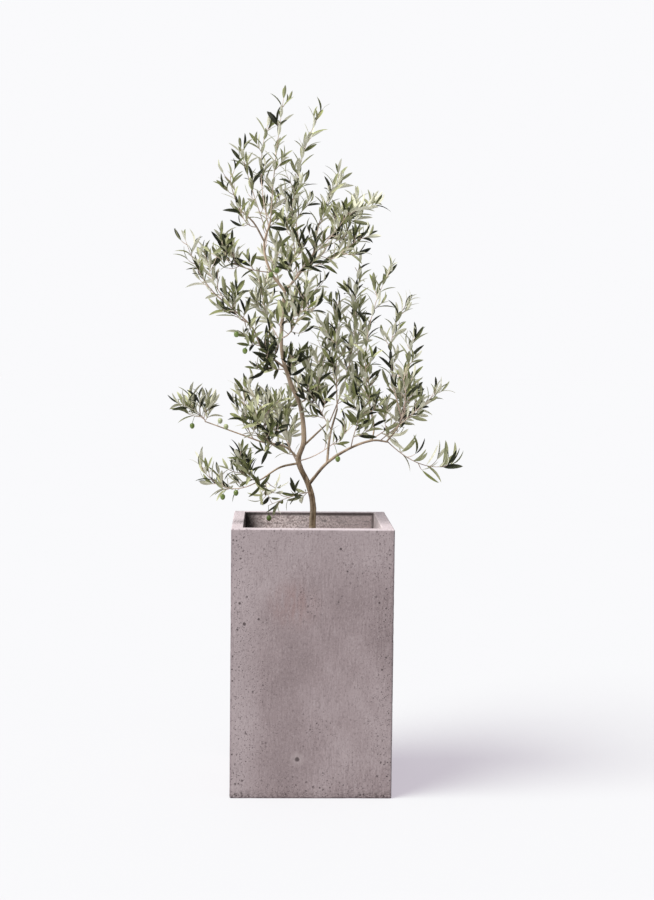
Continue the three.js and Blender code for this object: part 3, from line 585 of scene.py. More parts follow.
def grow_leaves(twigs, owner, angle, number, leafless):
    """Opposite pairs at an even spacing back from each twig's tip, each pair square to the last. They stand
    wider apart on the masses' own stems, which come first among the twigs.

    Gives each leaf's base, axis, face (the way its upper side looks), length, mass and twig.
    """
    length = arc_length(twigs)
    habits = np.array([LEAF_HABITS.get(mass["name"], (1.0, 1.0, LEAF_LIFT)) for mass in MASSES])
    wider, longer, lift = habits[owner].T
    spacing = np.where(np.arange(len(twigs)) < len(MASSES), LEADER_SPACING, LEAF_SPACING) * wider
    pairs = np.floor((length * (1 - leafless) - TIP_PAIR_SETBACK) / spacing).astype(int) + 1
    pairs = np.maximum(pairs, 1)
    twig = np.repeat(np.arange(len(twigs)), 2 * pairs)
    count = np.concatenate([np.arange(2 * n) for n in pairs])
    pair, half = count // 2, count % 2
    along = 1 - (TIP_PAIR_SETBACK + pair * spacing[twig]) / length[twig]
    slope = arc_direction(twigs[twig], along)
    base = arc(twigs[twig], along[:, None])[:, 0]
    seed = owner[twig] + 1
    place = seed * MASS_DRAW + number[twig] * TWIG_DRAW + pair * 2 + half
    around = angle[twig] + pair * np.pi / 2 + half * np.pi + draw(seed, place, *LEAF_TURN_VARIES)
    opening = np.where(pair == 0, TIP_LEAF_OPENING, LEAF_OPENING) + draw(seed, place + 0.3, *LEAF_TILT_VARIES)
    axis = opened(slope, around, opening, lift[twig])
    face = unit(slope - axis * np.sum(axis * slope, axis=1, keepdims=True))
    size = LEAF_LENGTH * longer[twig] * draw(seed, place + 0.6, *LEAF_SIZE_VARIES)
    size = size * np.where(pair == 0, TIP_LEAF_SIZE, 1.0)
    return base, axis, face, size, owner[twig], twig


def leaves_in_space(leaves, space):
    """Which leaves stay inside their mass's space, along their middle and at both edges, and end inside the
    box of the solids."""
    base, axis, face, size, owner, _ = leaves
    across = np.cross(axis, face)
    points = base[:, None] + axis[:, None] * LEAF_MIDDLE[:, None] * size[:, None, None]
    edges = (base + axis * (LEAF_BROADEST * size)[:, None])[:, None] + across[:, None] * (
        np.array([-0.5, 0.5])[:, None] * LEAF_WIDTH * size[:, None, None])
    points = np.concatenate([points, edges], axis=1)
    repeat = np.repeat(np.arange(len(base)), points.shape[1])
    reach = of_masses("reach")[owner] + LEAF_OVERREACH
    inside = space.holds(points.reshape(-1, 3), owner[repeat], reach[repeat], LEAF_MARGIN)
    tips = base + axis * size[:, None]
    low, high = np.array(cad_box) / MM
    boxed = ((tips > low - BOX_MARGIN) & (tips < high + BOX_MARGIN)).all(axis=1)
    return boxed & inside.reshape(len(base), -1).all(axis=1)


# Leaf shapes

# Where along a leaf its outline is drawn, and how wide it is there as a share of its width
LEAF_STATIONS = np.array([0.07, 0.2, 0.36, 0.56, 0.76, 0.91])
LEAF_OUTLINE = np.array([0.22, 0.66, 0.95, 1.0, 0.8, 0.42])


def leaf_shapes(leaves):
    """Thin keeled blades as one mesh, each drawn by its outline at six stations from its root to its tip.

    At each station there is a left edge, an upper middle, a right edge and a lower middle. The blade is
    folded a little along its middle, rises at first and then arches back by arch x (s x s - s / 2) at the
    share s of its length. Gives the shape and, for each face, its leaf and whether it is on the underside.
    """
    base, axis, face, size, owner = leaves[:5]
    seed = owner + 1.0
    count = np.arange(len(base))
    arch = size * draw(seed, count + 0.17, *LEAF_ARCH)
    fold = size * draw(seed, count + 0.43, *LEAF_FOLD)
    lean = draw(seed, count + 0.71, -LEAF_LEAN, LEAF_LEAN)[:, None]
    across = np.cross(axis, face)
    face, across = face * np.cos(lean) + across * np.sin(lean), across * np.cos(lean) - face * np.sin(lean)
    bend = (LEAF_STATIONS ** 2 - 0.5 * LEAF_STATIONS)[:, None] * arch[:, None, None]
    straight = base[:, None] + axis[:, None] * (LEAF_STATIONS[:, None] * size[:, None, None])
    spine = straight - face[:, None] * bend
    half = across[:, None] * (0.5 * LEAF_WIDTH * LEAF_OUTLINE[:, None] * size[:, None, None])
    rise = face[:, None] * (fold[:, None, None] * LEAF_OUTLINE[:, None])
    thick = face[:, None] * (0.5 * LEAF_THICKNESS * np.ones_like(LEAF_OUTLINE)[:, None])
    stations = np.stack([spine - half + rise, spine + thick, spine + half + rise, spine - thick], axis=2)
    tip = base + axis * size[:, None] - face * (0.5 * arch[:, None])
    vertices = np.concatenate([stations.reshape(len(base), -1, 3), base[:, None], tip[:, None]], axis=1)
    body = grid_faces(len(LEAF_STATIONS), 4)
    last = 4 * len(LEAF_STATIONS)
    side = np.arange(4)
    low = np.stack([np.full(4, last), (side + 1) % 4, side], axis=1)
    high = np.stack([np.full(4, last + 1), last - 4 + side, last - 4 + (side + 1) % 4], axis=1)
    ends = np.vstack([low, high])
    start = (np.arange(len(base)) * vertices.shape[1])[:, None, None]
    squares = (start + body).reshape(-1, 4)
    triangles = (start + ends).reshape(-1, 3)
    under = np.concatenate([np.tile(np.tile(side >= 2, len(LEAF_STATIONS) - 1), len(base)),
                            np.tile(np.tile(side >= 2, 2), len(base))])
    leaf = np.concatenate([np.repeat(count, len(body)), np.repeat(count, len(ends))])
    return (vertices.reshape(-1, 3), squares, triangles), leaf, under


def olive_shapes(places, holds):
    """Olives and their stalks: an egg that narrows a little to its lower end, hung from the nearest hold."""
    rise = np.linspace(-1, 1, 11)[1:-1] * np.pi / 2
    turn = np.linspace(0, 2 * np.pi, OLIVE_SIDES, endpoint=False)
    width = np.cos(rise) * (1 + 0.08 * np.sin(rise))
    shapes = []
    for place in np.array(places, dtype=float):
        grid = np.stack([
            OLIVE_RADIUS * width[:, None] * np.cos(turn),
            OLIVE_RADIUS * width[:, None] * np.sin(turn),
            OLIVE_HALF_LENGTH * np.sin(rise)[:, None] * np.ones_like(turn)], axis=-1)
        shapes.append(closed_grid(place + grid))
        hold = holds[np.argmin(np.linalg.norm(holds - place, axis=1))]
        top = place + UP * OLIVE_HALF_LENGTH * 0.8
        stalk = np.array([[hold, (hold + top) / 2 + UP * 2, top]])
        shapes.append(tubes(stalk, np.full((1, 2), STALK_RADIUS), *STALK_TUBE))
    return joined(shapes)


# Trunk and boughs

def ripple(points, waves, seed):
    """A smooth relief between -1 and 1: the mean of sine waves across points at seeded slants."""
    total = np.zeros(points.shape[:-1])
    for wave in range(waves):
        slant = np.array([draw(seed, 3 * wave + k, -1, 1) for k in range(3)])
        total += np.sin(points @ (2 * np.pi * slant) + 2 * np.pi * draw(seed, wave + 0.5))
    return total / waves


def limb_shape(name):
    """A limb: rings along its spline whose radius swells and dips with fine bark, long ridges and knots.

    radius = plain radius x (1 + ridges that run along + bumps all over + knots at seeded heights).
    """
    places = LIMBS[name][2]
    length = chain_length(places)
    rings = int(length / BARK_STEP) + 2
    shares = np.linspace(0, 1, rings)
    line = spline(places, shares)
    slope = unit(np.gradient(line, axis=0))
    if name == "trunk":
        slope[0] = UP
    first = unit(BACK - slope * (slope @ BACK)[:, None])
    second = np.cross(slope, first)
    turn = np.linspace(0, 2 * np.pi, BARK_SIDES, endpoint=False)
    radius = limb_radius(name, shares, line[:, 2])[:, None]
    height = (shares * length)[:, None] * np.ones_like(turn)
    across, beyond = np.cos(turn) * np.ones_like(height), np.sin(turn) * np.ones_like(height)
    around = np.stack([across, beyond, height / RIDGE_LENGTH], -1)
    fine = np.stack([across * radius / BUMP_WIDTH, beyond * radius / BUMP_WIDTH, height / BUMP_HEIGHT], -1)
    seed = 1.0 + list(LIMBS).index(name)
    knots = np.zeros_like(height)
    for knot in range(int(length / KNOT_SPACING) + 1):
        near = np.exp(-((height - length * draw(seed, knot)) / KNOT_HEIGHT) ** 2)
        knots += near * np.maximum(np.cos(turn - 2 * np.pi * draw(seed, knot + 0.5)), 0)
    relief = RIDGE_DEPTH * ripple(around, 6, seed) + BUMP_DEPTH * ripple(fine, 10, seed + 0.5)
    relief = relief + KNOT_DEPTH * knots
    ring = first[:, None] * np.cos(turn)[:, None] + second[:, None] * np.sin(turn)[:, None]
    return closed_grid(line[:, None] + ring * (radius * (1 + relief))[..., None])


# Planter and soil

def square_outline(columns, arc_columns):
    """A square's unit outline and, at the same places, the outward way that its corners are rounded by.

    A ring of half width h and corner radius c is then (h - c) x outline + c x outward.
    """
    along = np.sin(np.linspace(-1, 1, columns) * np.pi / 2) * 0.25 + np.linspace(-1, 1, columns) * 0.75
    turn = np.linspace(0, np.pi / 2, arc_columns + 2)[1:-1]
    outline = np.vstack([np.stack([along, -np.ones(columns)], -1), np.tile([1.0, -1.0], (arc_columns, 1))])
    outward = np.vstack([np.tile([0.0, -1.0], (columns, 1)), np.stack([np.sin(turn), -np.cos(turn)], -1)])
    turned = [np.array([[np.cos(a), np.sin(a)], [-np.sin(a), np.cos(a)]]) for a in np.arange(4) * np.pi / 2]
    return np.vstack([outline @ t for t in turned]), np.vstack([outward @ t for t in turned])


def square_rings(outline, outward, halves, corners, heights):
    """Rings round a square, one for each half width, corner radius and height, as a grid."""
    flat = (halves - corners)[:, None, None] * outline + corners[:, None, None] * outward
    return np.concatenate([flat, np.broadcast_to(heights[:, None, None], flat.shape[:2] + (1,))], axis=-1)


def pits(points, count, seed, radii, depth):
    """How deep each point is pitted: round hollows at seeded places of the planter's outside."""
    hollow = np.zeros(points.shape[:-1])
    for k in range(count):
        side = int(draw(seed, k, 0, 4))
        along = draw(seed, k + 0.3, -0.97, 0.97) * PLANTER_HALF
        height = draw(seed, k + 0.6, 0.01, 0.99) * PLANTER_HEIGHT
        turn = side * np.pi / 2
        centre = np.array([np.cos(turn) * along + np.sin(turn) * PLANTER_HALF,
                           np.sin(turn) * along - np.cos(turn) * PLANTER_HALF, height])
        radius = draw(seed, k + 0.8, *radii)
        far = np.linalg.norm(points - centre, axis=-1) / radius
        hollow = np.maximum(hollow, depth * radius * np.clip(1 - far ** 2, 0, None) ** 0.6)
    return hollow


def planter_shape():
    """The planter: its profile carried round the square, from under the foot up and over the rim.

    The outside is pushed in by pits, and its edges by small chips.
    """
    outline, outward = square_outline(SIDE_COLUMNS, CORNER_COLUMNS)
    bend = np.linspace(0, np.pi / 2, 4)[1:-1]
    rise, run = EDGE * np.sin(bend), EDGE * np.cos(bend)
    side, top, inside = PLANTER_HALF - EDGE, PLANTER_HEIGHT - EDGE, PLANTER_HALF - WALL
    halves = np.concatenate([
        np.linspace(FOOT_START, side, FOOT_ROWS), side + rise, np.full(WALL_ROWS, PLANTER_HALF), side + run,
        np.linspace(side, inside + EDGE, RIM_ROWS), inside + EDGE - rise, np.full(INSIDE_ROWS, inside),
        inside - CLOSING_STEPS])
    foot = SOIL_LEVEL - INSIDE_DEPTH
    heights = np.concatenate([
        np.zeros(FOOT_ROWS), EDGE - run, np.linspace(EDGE, top, WALL_ROWS), top + rise,
        np.full(RIM_ROWS, PLANTER_HEIGHT), top + run, np.linspace(top, foot, INSIDE_ROWS), np.full(2, foot)])
    corners = np.where(halves > inside + EDGE, OUTER_CORNER, INNER_CORNER)
    points = square_rings(outline, outward, halves, corners, heights)
    flat, height = np.abs(points[..., :2]), points[..., 2]
    outer = flat.max(axis=-1) > side - 0.01
    edge = np.minimum(PLANTER_HALF - flat.min(axis=-1), np.minimum(height, PLANTER_HEIGHT - height))
    chipped = np.clip(ripple(points / CHIP_SPACING, 9, 5.0) * 3 - 0.35, 0, 1)
    chip = np.exp(-np.clip(edge, 0, None) / CHIP_REACH) * chipped * CHIP_DEPTH
    hollow = pits(points, HOLLOW_COUNT, 7.0, HOLLOW_RADII, HOLLOW_DEPTH) + chip
    hollow = hollow + 0.25 * (1 + ripple(points / 90, 8, 9.0))
    inward = np.concatenate([-outward, np.zeros((len(outward), 1))], axis=1)
    points = points + np.where(outer, hollow, 0)[..., None] * inward
    rim = points[..., 2] > PLANTER_HEIGHT - 0.5
    points[..., 2] -= np.where(rim, 0.3 * (1 + ripple(points / 20, 8, 3.0)), 0)
    return closed_grid(points)


def soil_shape():
    """The soil: rings from the middle out to the wall, roughened by crumbs, then down and back under."""
    outline, outward = square_outline(*SOIL_COLUMNS)
    inside = PLANTER_HALF - WALL - SOIL_GAP
    halves = np.concatenate([np.linspace(3, inside, SOIL_ROWS), [inside, inside * 0.5]])
    heights = np.concatenate([np.full(SOIL_ROWS, SOIL_LEVEL), np.full(2, SOIL_LEVEL - SOIL_DEPTH)])
    points = square_rings(outline, outward, halves, np.minimum(INNER_CORNER, halves * 0.5), heights)
    crumbs = 3.0 * ripple(points / 45, 8, 2.0) + 2.4 * np.abs(ripple(points / 9, 12, 4.0))
    crumbs = crumbs + 1.5 * ripple(points / 5, 12, 6.0)
    points[:SOIL_ROWS, :, 2] += crumbs[:SOIL_ROWS] - 2.0
    vertices, squares, triangles = closed_grid(points)
    return vertices, squares[:, ::-1], triangles[:, ::-1]


# Materials

def feed(socket, given):
    """Gives a socket a value to follow, or a number, a place or a colour of its own."""
    if isinstance(given, bpy.types.NodeSocket):
        socket.id_data.links.new(given, socket)
    elif socket.type == "RGBA":
        socket.default_value = (*given, 1)
    else:
        socket.default_value = given


def node(kind, output, inputs, **settings):
    """A new node's output. The node stands in the same tree as the values that feed it."""
    tree = next(given.id_data for given in inputs.values() if isinstance(given, bpy.types.NodeSocket))
    made = tree.nodes.new("ShaderNode" + kind)
    for name, setting in settings.items():
        setattr(made, name, setting)
    for name, given in inputs.items():
        feed(made.inputs[name], given)
    return made.outputs[output]


def material(name, colour, roughness):
    """A new material, its shader's sockets and its Object coordinates."""
    made = bpy.data.materials.new(name)
    made.use_nodes = True
    nodes = made.node_tree.nodes
    sockets = nodes["Principled BSDF"].inputs
    feed(sockets["Base Color"], colour)
    feed(sockets["Roughness"], roughness)
    return made, sockets, nodes.new("ShaderNodeTexCoord").outputs["Object"]


def noise(place, scale, detail=4.0, roughness=0.55, stretch=None):
    """A noise texture's value, its place stretched first where a stretch is given."""
    if stretch is not None:
        place = node("Mapping", "Vector", {"Vector": place, "Scale": stretch})
    return node("TexNoise", "Fac", {
        "Vector": place, "Scale": scale, "Detail": detail, "Roughness": roughness})


def ramp(value, stops):
    """A colour ramp over a value: stops are (position, colour)."""
    colour = node("ValToRGB", "Color", {"Fac": value})
    elements = colour.node.color_ramp.elements
    while len(elements) < len(stops):
        elements.new(0.5)
    for element, (position, tone) in zip(elements, stops):
        element.position = position
        element.color = (*tone, 1)
    return colour


def level(value, low, high, new_low=0.0, new_high=1.0):
    """A value mapped from one range to another and kept inside it."""
    return node("MapRange", "Result", {
        "Value": value, "From Min": low, "From Max": high, "To Min": new_low, "To Max": new_high})


def mix(first, second, share):
    """Two colours mixed by a share, which may be a number or a value."""
    return node("Mix", "Result", {"Factor": share, "A": first, "B": second}, data_type="RGBA")


def painted(colour, coats):
    """A colour with coats laid over it in turn, each a colour and the share of it that covers."""
    for coat, share in coats:
        colour = mix(colour, coat, share)
    return colour


def bump(sockets, height, distance, strength=1.0, below=None):
    """A bump laid on a shader, over another bump where one is given."""
    inputs = {"Height": height, "Distance": distance, "Strength": strength}
    if below is not None:
        inputs["Normal"] = below
    normal = node("Bump", "Normal", inputs)
    feed(sockets["Normal"], normal)
    return normal


def maths(kind, *values):
    """The result of one operation, such as a product or a maximum, on numbers and values."""
    return node("Math", "Value", dict(enumerate(values)), operation=kind)


def distance_from(place, centre):
    """How far a place is from a centre, both in metres."""
    return node("VectorMath", "Value", {0: place, 1: centre}, operation="DISTANCE")


def split(place):
    """A place's three parts: across, back and up."""
    return node("SeparateXYZ", "X", {0: place}).node.outputs


def holes(place, scale, share, size):
    """Ragged holes: in each cell of a Voronoi pattern a spot, as wide as the cell's own draw where that is
    over the share. The value is 1 in the holes and 0 outside."""
    raggedness = level(noise(place, scale * 2.5, 2.0, 0.6), 0, 1, 0, 0.5 / scale)
    ragged = node("VectorMath", "Vector", {0: place, 1: raggedness}, operation="ADD")
    cells = node("TexVoronoi", "Color", {"Vector": ragged, "Scale": scale})
    own = level(node("SeparateColor", "Red", {"Color": cells}), share, 1.0, 0.0, size)
    return level(maths("SUBTRACT", own, cells.node.outputs["Distance"]), 0.0, 0.08)


def walls(place, x, y, z, along, grit):
    """The walls' outside: mauve-grey clouds, with painted light that makes them paler up the wall and down
    the left of the front, a rust-tinged patch, fine streaks drawn downwards, light and dark grit, worn dark
    chips at the foot, a darker line along the very bottom, and painted shade along the upright edges."""
    clouds = ramp(noise(place, 5.0, 5.0, 0.6, (1.0, 1.0, 0.7)), [
        (0.32, (0.225, 0.178, 0.183)), (0.5, (0.281, 0.226, 0.233)), (0.66, (0.348, 0.289, 0.298))])
    rust = maths("MULTIPLY", level(distance_from(place, RUST_PLACE), 0.075, 0.02, 0, 0.75),
                 level(noise(place, 60, 4.0, 0.6, (1.0, 1.0, 0.3)), 0.35, 0.6))
    # painted light: the left of the front is paler
    front_left_painted_light = maths("MULTIPLY", level(x, -0.12, -0.18, 0, 0.6), level(y, -0.188, -0.196))
    streaks = noise(place, 210, 4.0, 0.6, (1.0, 1.0, 0.11))
    drawn = level(noise(place, 13, 3.0, 0.6, (1.0, 1.0, 0.5)), 0.38, 0.62, 0.06, 0.36)
    chipped = level(noise(place, 120, 4.0, 0.7, (1.0, 1.0, 1.8)), 0.45, 0.57)
    near_foot = maths("MULTIPLY", level(z, 0.024, 0.003), level(along, 0.04, 0.17, 0.5, 0.95))
    return painted(clouds, [
        ((0.265, 0.18, 0.175), rust),
        ((0.4, 0.34, 0.352), front_left_painted_light),
        # painted light: paler up the wall
        ((0.36, 0.303, 0.315), level(z, 0.48, RIM_TOP, 0, 0.6)),
        ((0.39, 0.334, 0.342), maths("MULTIPLY", drawn, level(streaks, 0.53, 0.68))),
        ((0.12, 0.09, 0.094), maths("MULTIPLY", drawn, level(streaks, 0.47, 0.32))),
        ((0.46, 0.4, 0.41), level(grit, 0.54, 0.74, 0, 0.6)),
        ((0.07, 0.05, 0.052), level(grit, 0.46, 0.3, 0, 0.65)),
        ((0.07, 0.053, 0.052), maths("MULTIPLY", chipped, near_foot)),
        ((0.09, 0.07, 0.072), level(z, 0.0045, 0.001, 0, 0.6)),
        # painted shade: dark lines along the upright edges
        ((0.12, 0.095, 0.11), level(along, 0.1945, 0.1985, 0, 0.5)),
    ])


def raw_walls(place, x, z, along):
    """The walls' inside, left rough: fine dark and pale speckle, with painted light that makes the whole
    inside paler than the outside and paler and smoother still to the right, noise stain marks with
    painted shade in the corners, and a dark band just under the rim. A painted shadow of the left wall
    makes the back's left end almost black; the left side is darkened with painted shade and the right
    side made paler with painted light."""
    grains = level(noise(place, 250, 4.0, 0.7, (1.0, 1.0, 1.2)), 0.43, 0.55)
    stains_and_shade = level(noise(place, 30, 3.0, 0.6, (1.0, 1.0, 4.0)), 0.54, 0.68, 0, 0.42)
    # painted shade in the inside corners, and a dark band just under the rim
    for value, low, high in (
            (along, INSIDE_WALL - 0.009, INSIDE_WALL - 0.002), (z, RIM_TOP - 0.011, RIM_TOP - 0.006)):
        stains_and_shade = maths("MAXIMUM", stains_and_shade, level(value, low, high, 0, 0.88))
    coats = [
        # painted light: paler and smoother toward the right
        ((0.9, 0.77, 0.78), level(x, -0.02, 0.13, 0.1, 0.6)),
        ((0.06, 0.045, 0.045), stains_and_shade),
        # painted shadow of the left wall on the back's left end
        ((0.02, 0.016, 0.016), level(x, -0.115, -0.16, 0, 0.92)),
    ]
    # painted shade on the inside of the left wall, painted light on the inside of the right wall
    for side, tone, share in ((-1, (0.15, 0.12, 0.12), 0.75), (1, (0.7, 0.62, 0.64), 0.8)):
        toward = maths("MULTIPLY", x, side)
        coats.append((tone, level(toward, INSIDE_WALL - 0.001, INSIDE_WALL - 0.0005, 0, share)))
    # painted light: the inside is painted far paler than the outside, over its speckle
    return painted(mix((0.4, 0.31, 0.31), (0.97, 0.85, 0.86), grains), coats)


def pitted(sockets, place, along, z, colour, normal):
    """A colour and bump with pits of three sizes, which crowd in patches, beside the corners and at the
    foot, and with the paler plug and the few larger pits of the front at places of their own."""
    patches = level(noise(place, 9.0, 3.0, 0.6), 0.45, 0.65, 0, 0.7)
    crowd = maths("MAXIMUM", level(along, 0.12, 0.175, 0, 0.8), level(z, 0.1, 0.0))
    crowd = maths("MAXIMUM", patches, crowd)
    for scale, share, size, depth, dark in (
            (260, 0.36, 0.42, 0.0008, 0.8), (120, 0.64, 0.36, 0.0016, 0.85), (40, 0.88, 0.2, 0.003, 0.6)):
        spots = maths("MULTIPLY", holes(place, scale, share, size), crowd)
        # painted shade in the pits
        colour = mix(colour, (0.05, 0.036, 0.038), level(spots, 0, 1, 0, dark))
        normal = bump(sockets, level(spots, 0, 1, 1, 0), depth, 1.0, normal)
    ragged = level(noise(place, 400, 3.0, 0.6), 0, 1, -0.0025, 0.0025)
    plug = level(distance_from(place, PLUG_PLACE), PLUG_RADIUS * 1.2, PLUG_RADIUS * 0.6, 0, 0.36)
    colour = mix(colour, (0.4, 0.34, 0.345), plug)
    for across, height, radius in FRONT_PITS:
        far = distance_from(place, (across, -PLANTER_HALF * MM, height))
        pit = level(maths("ADD", far, ragged), radius, radius * 0.6, 0, 0.85)
        # painted shade in the larger pits of the front
        colour = mix(colour, (0.055, 0.04, 0.042), pit)
    return colour


def concrete():
    """Cast concrete: the walls outside, the raw walls inside and a rim's top made paler with painted light,
    all gritty and pitted.
    """
    made, sockets, place = material("concrete", (0.25, 0.2, 0.2), 0.85)
    x, y, z = split(place)
    across, beyond = maths("ABSOLUTE", x), maths("ABSOLUTE", y)
    outward, along = maths("MAXIMUM", across, beyond), maths("MINIMUM", across, beyond)
    grit = noise(place, 210, 5.0, 0.8, (1.0, 1.0, 0.6))
    colour = painted(walls(place, x, y, z, along, grit), [
        # painted light: the rim's top is paler
        ((0.62, 0.55, 0.585), level(z, RIM_TOP - 0.003, RIM_TOP - 0.0015, 0, RIM_PAINTED_LIGHT)),
        (raw_walls(place, x, z, along), level(outward, INSIDE_WALL + 0.002, INSIDE_WALL + 0.001)),
    ])
    normal = bump(sockets, grit, 0.0018, 0.75)
    feed(sockets["Base Color"], pitted(sockets, place, along, z, colour, normal))
    feed(sockets["Roughness"], level(grit, 0.3, 0.7, 0.78, 0.92))
    feed(sockets["Specular IOR Level"], 0.25)
    return made


def leaf_material(name, dark, light, roughness, sheen=0.0):
    """A leaf's upper side or underside: a colour that drifts from leaf to leaf, faintly grained and
    glossy."""
    made, sockets, place = material(name, dark, roughness)
    colour = mix(dark, light, level(noise(place, 34, 2.0, 0.5), 0.35, 0.65))
    veins = noise(place, 900, 3.0, 0.6)
    feed(sockets["Base Color"], mix(colour, (0.5, 0.5, 0.45), level(veins, 0.45, 0.75, 0, 0.12)))
    bump(sockets, veins, 0.0003, 0.35)
    feed(sockets["Specular IOR Level"], LEAF_GLOSS)
    feed(sockets["Sheen Weight"], sheen)
    return made


def bark():
    """Olive bark: golden brown at the foot and paler up the tree, streaked, with pale scars and dark
    cracks. It has painted shade on the side away from the lamp and painted light on the side toward it."""
    made, sockets, place = material("bark", (0.2, 0.155, 0.12), 0.85)
    streaks = noise(place, 60, 6.0, 0.65, (1.0, 1.0, 0.22))
    height = split(place)["Z"]
    surface = place.id_data.nodes.new("ShaderNodeNewGeometry").outputs["Normal"]
    painted_light_facing = node("VectorMath", "Value", {0: surface, 1: PAINTED_LIGHT_SIDE}, operation="DOT_PRODUCT")
    base = ramp(streaks, [
        (0.34, (0.03, 0.019, 0.01)), (0.48, (0.16, 0.108, 0.06)), (0.64, (0.5, 0.375, 0.25))])
    feed(sockets["Base Color"], painted(base, [
        ((0.52, 0.4, 0.325), level(height, 0.72, 1.1, 0, 0.5)),
        # painted shade on the side that faces away from the lamp
        ((0.035, 0.022, 0.013), level(painted_light_facing, -0.1, -0.8, 0, 0.75)),
        # painted light on the side that faces the lamp
        ((0.8, 0.64, 0.5), level(painted_light_facing, 0.25, 0.85, 0, 0.55)),
        ((0.48, 0.395, 0.31), level(noise(place, 140, 3.0, 0.6), 0.58, 0.7, 0, 0.6)),
    ]))
    normal = bump(sockets, streaks, 0.0025, 0.8)
    bump(sockets, noise(place, 500, 4.0, 0.7), 0.0007, 0.6, normal)
    feed(sockets["Specular IOR Level"], 0.25)
    return made


def young_bark():
    """A twig's bark: paler and smoother, pinkish brown."""
    made, sockets, place = material("young_bark", (0.2, 0.17, 0.12), 0.7)
    drift = level(noise(place, 18, 3.0, 0.6), 0.35, 0.65)
    feed(sockets["Base Color"], mix((0.28, 0.2, 0.155), (0.74, 0.59, 0.5), drift))
    bump(sockets, noise(place, 700, 3.0, 0.6), 0.0004, 0.6)
    return made


def olive_skin(name, colour, light):
    """A green olive's skin: glossy, with pale flecks."""
    made, sockets, place = material(name, colour, 0.32)
    drift = mix(colour, light, level(noise(place, 70, 2.0, 0.5), 0.35, 0.7))
    flecks = level(noise(place, 1500, 2.0, 0.5), 0.66, 0.74, 0, 0.6)
    feed(sockets["Base Color"], mix(drift, (0.5, 0.55, 0.3), flecks))
    bump(sockets, noise(place, 500, 2.0, 0.5), 0.0002, 0.4)
    return made


def soil():
    """Dry potting soil: dark brown crumbs with a few paler ones."""
    made, sockets, place = material("soil", (0.07, 0.05, 0.036), 0.95)
    crumbs = noise(place, 160, 6.0, 0.75)
    feed(sockets["Base Color"], ramp(crumbs, [
        (0.3, (0.022, 0.015, 0.01)), (0.52, (0.075, 0.053, 0.038)), (0.68, (0.17, 0.13, 0.1))]))
    bump(sockets, crumbs, 0.004, 1.0)
    return made


def lamp_way():
    """The way that the lamp's light travels, from its bearing and its height above the floor."""
    flat = np.cos(LAMP_HEIGHT)
    return np.array([np.cos(LAMP_BEARING) * flat, np.sin(LAMP_BEARING) * flat, -np.sin(LAMP_HEIGHT)])


def floor_paint():
    """The studio floor: a matt table lit a little from below, as bright as the sky where the lamp lights
    it.

    glow = a share of the sky; colour = (sky - glow) / (sky's fill + lamp strength x its colour x the sine
    of its height / pi), with a faint cloudiness.
    """
    sky = np.array(SKY)
    glow = sky * np.array(FLOOR_GLOW)
    lamp_light = LAMP_STRENGTH * np.array(LAMP_COLOUR) * np.sin(LAMP_HEIGHT) / np.pi
    colour = (sky - glow) / (FILL_SHARE * sky + lamp_light)
    made, sockets, place = material("floor", colour, 1.0)
    cloud = level(noise(place, 2.0, 2.0, 0.5), 0.3, 0.7)
    feed(sockets["Base Color"], mix(colour * 0.998, colour * 1.002, cloud))
    feed(sockets["Specular IOR Level"], 0.0)
    feed(sockets["Emission Color"], glow)
    feed(sockets["Emission Strength"], 1.0)
    return made


# Colours of the leaves' upper sides, each with its dark and its light end and its roughness, and the share
# of the leaves that have it; then the same colours of their undersides, and the share that has the first
LEAF_GREENS = [
    # the darkest leaves: deep green darkened further into painted shade
    ("leaf_deep_painted_shade", (0.007, 0.009, 0.003), (0.03, 0.035, 0.011), 0.5),
    ("leaf_green", (0.07, 0.08, 0.025), (0.18, 0.193, 0.075), 0.52),
    ("leaf_grey", (0.27, 0.284, 0.15), (0.5, 0.51, 0.315), 0.6),
    ("leaf_young", (0.23, 0.262, 0.08), (0.35, 0.38, 0.16), 0.55),
]
LEAF_SHARES = np.array([0.41, 0.325, 0.235, 0.03])
LEAF_GLOSS = 0.1
LEAF_SILVERS = [
    ("leaf_silver", (0.6, 0.595, 0.45), (0.8, 0.79, 0.645), 0.7),
    ("leaf_pale_green", (0.23, 0.238, 0.125), (0.38, 0.388, 0.225), 0.68),
]
SILVER_SHARE = 0.66
SILVER_SHEEN = 0.15
# How much of a leaf's colour comes from its own draw, and how much from its twig's
OWN_DRAW = 0.72
SHARED_DRAW = 0.28


def leaf_looks(leaves, leaf, under):
    """Which colour each leaf face has: by the leaf's own draw, with a lean that its whole twig shares."""
    owner, twig = leaves[4] + 1.0, leaves[5]
    count = np.arange(len(owner))
    own = OWN_DRAW * draw(owner, count * 1.37) + SHARED_DRAW * draw(owner, twig * 2.11 + 0.5)
    order = np.argsort(np.argsort(own)) / len(own)
    green = np.searchsorted(np.cumsum(LEAF_SHARES), order, side="right")
    silver = len(LEAF_GREENS) + (draw(owner, count * 0.77 + 9) > SILVER_SHARE)
    return np.where(under, silver[leaf], np.minimum(green, len(LEAF_GREENS) - 1)[leaf])


# Where the green olives and the pale ones hang
GREEN_OLIVES = [
    (-192, -100, 1139), (-171, -84, 1098), (-105, -34, 889), (-114, -30, 853), (-191, -74, 743),
    (-224, -78, 733), (-307, 54, 902), (63, -76, 830), (-108, -56, 678), (-108, 0, 1289), (-93, 0, 1301)]
PALE_OLIVES = [(-235, 46, 916), (-220, 46, 901)]

limb_names = list(LIMBS)
mass_names = ["foliage_" + mass["name"] for mass in MASSES]
piece("bark", joined([limb_shape(name) for name in limb_names]), [bark()], "bark", limb_names)

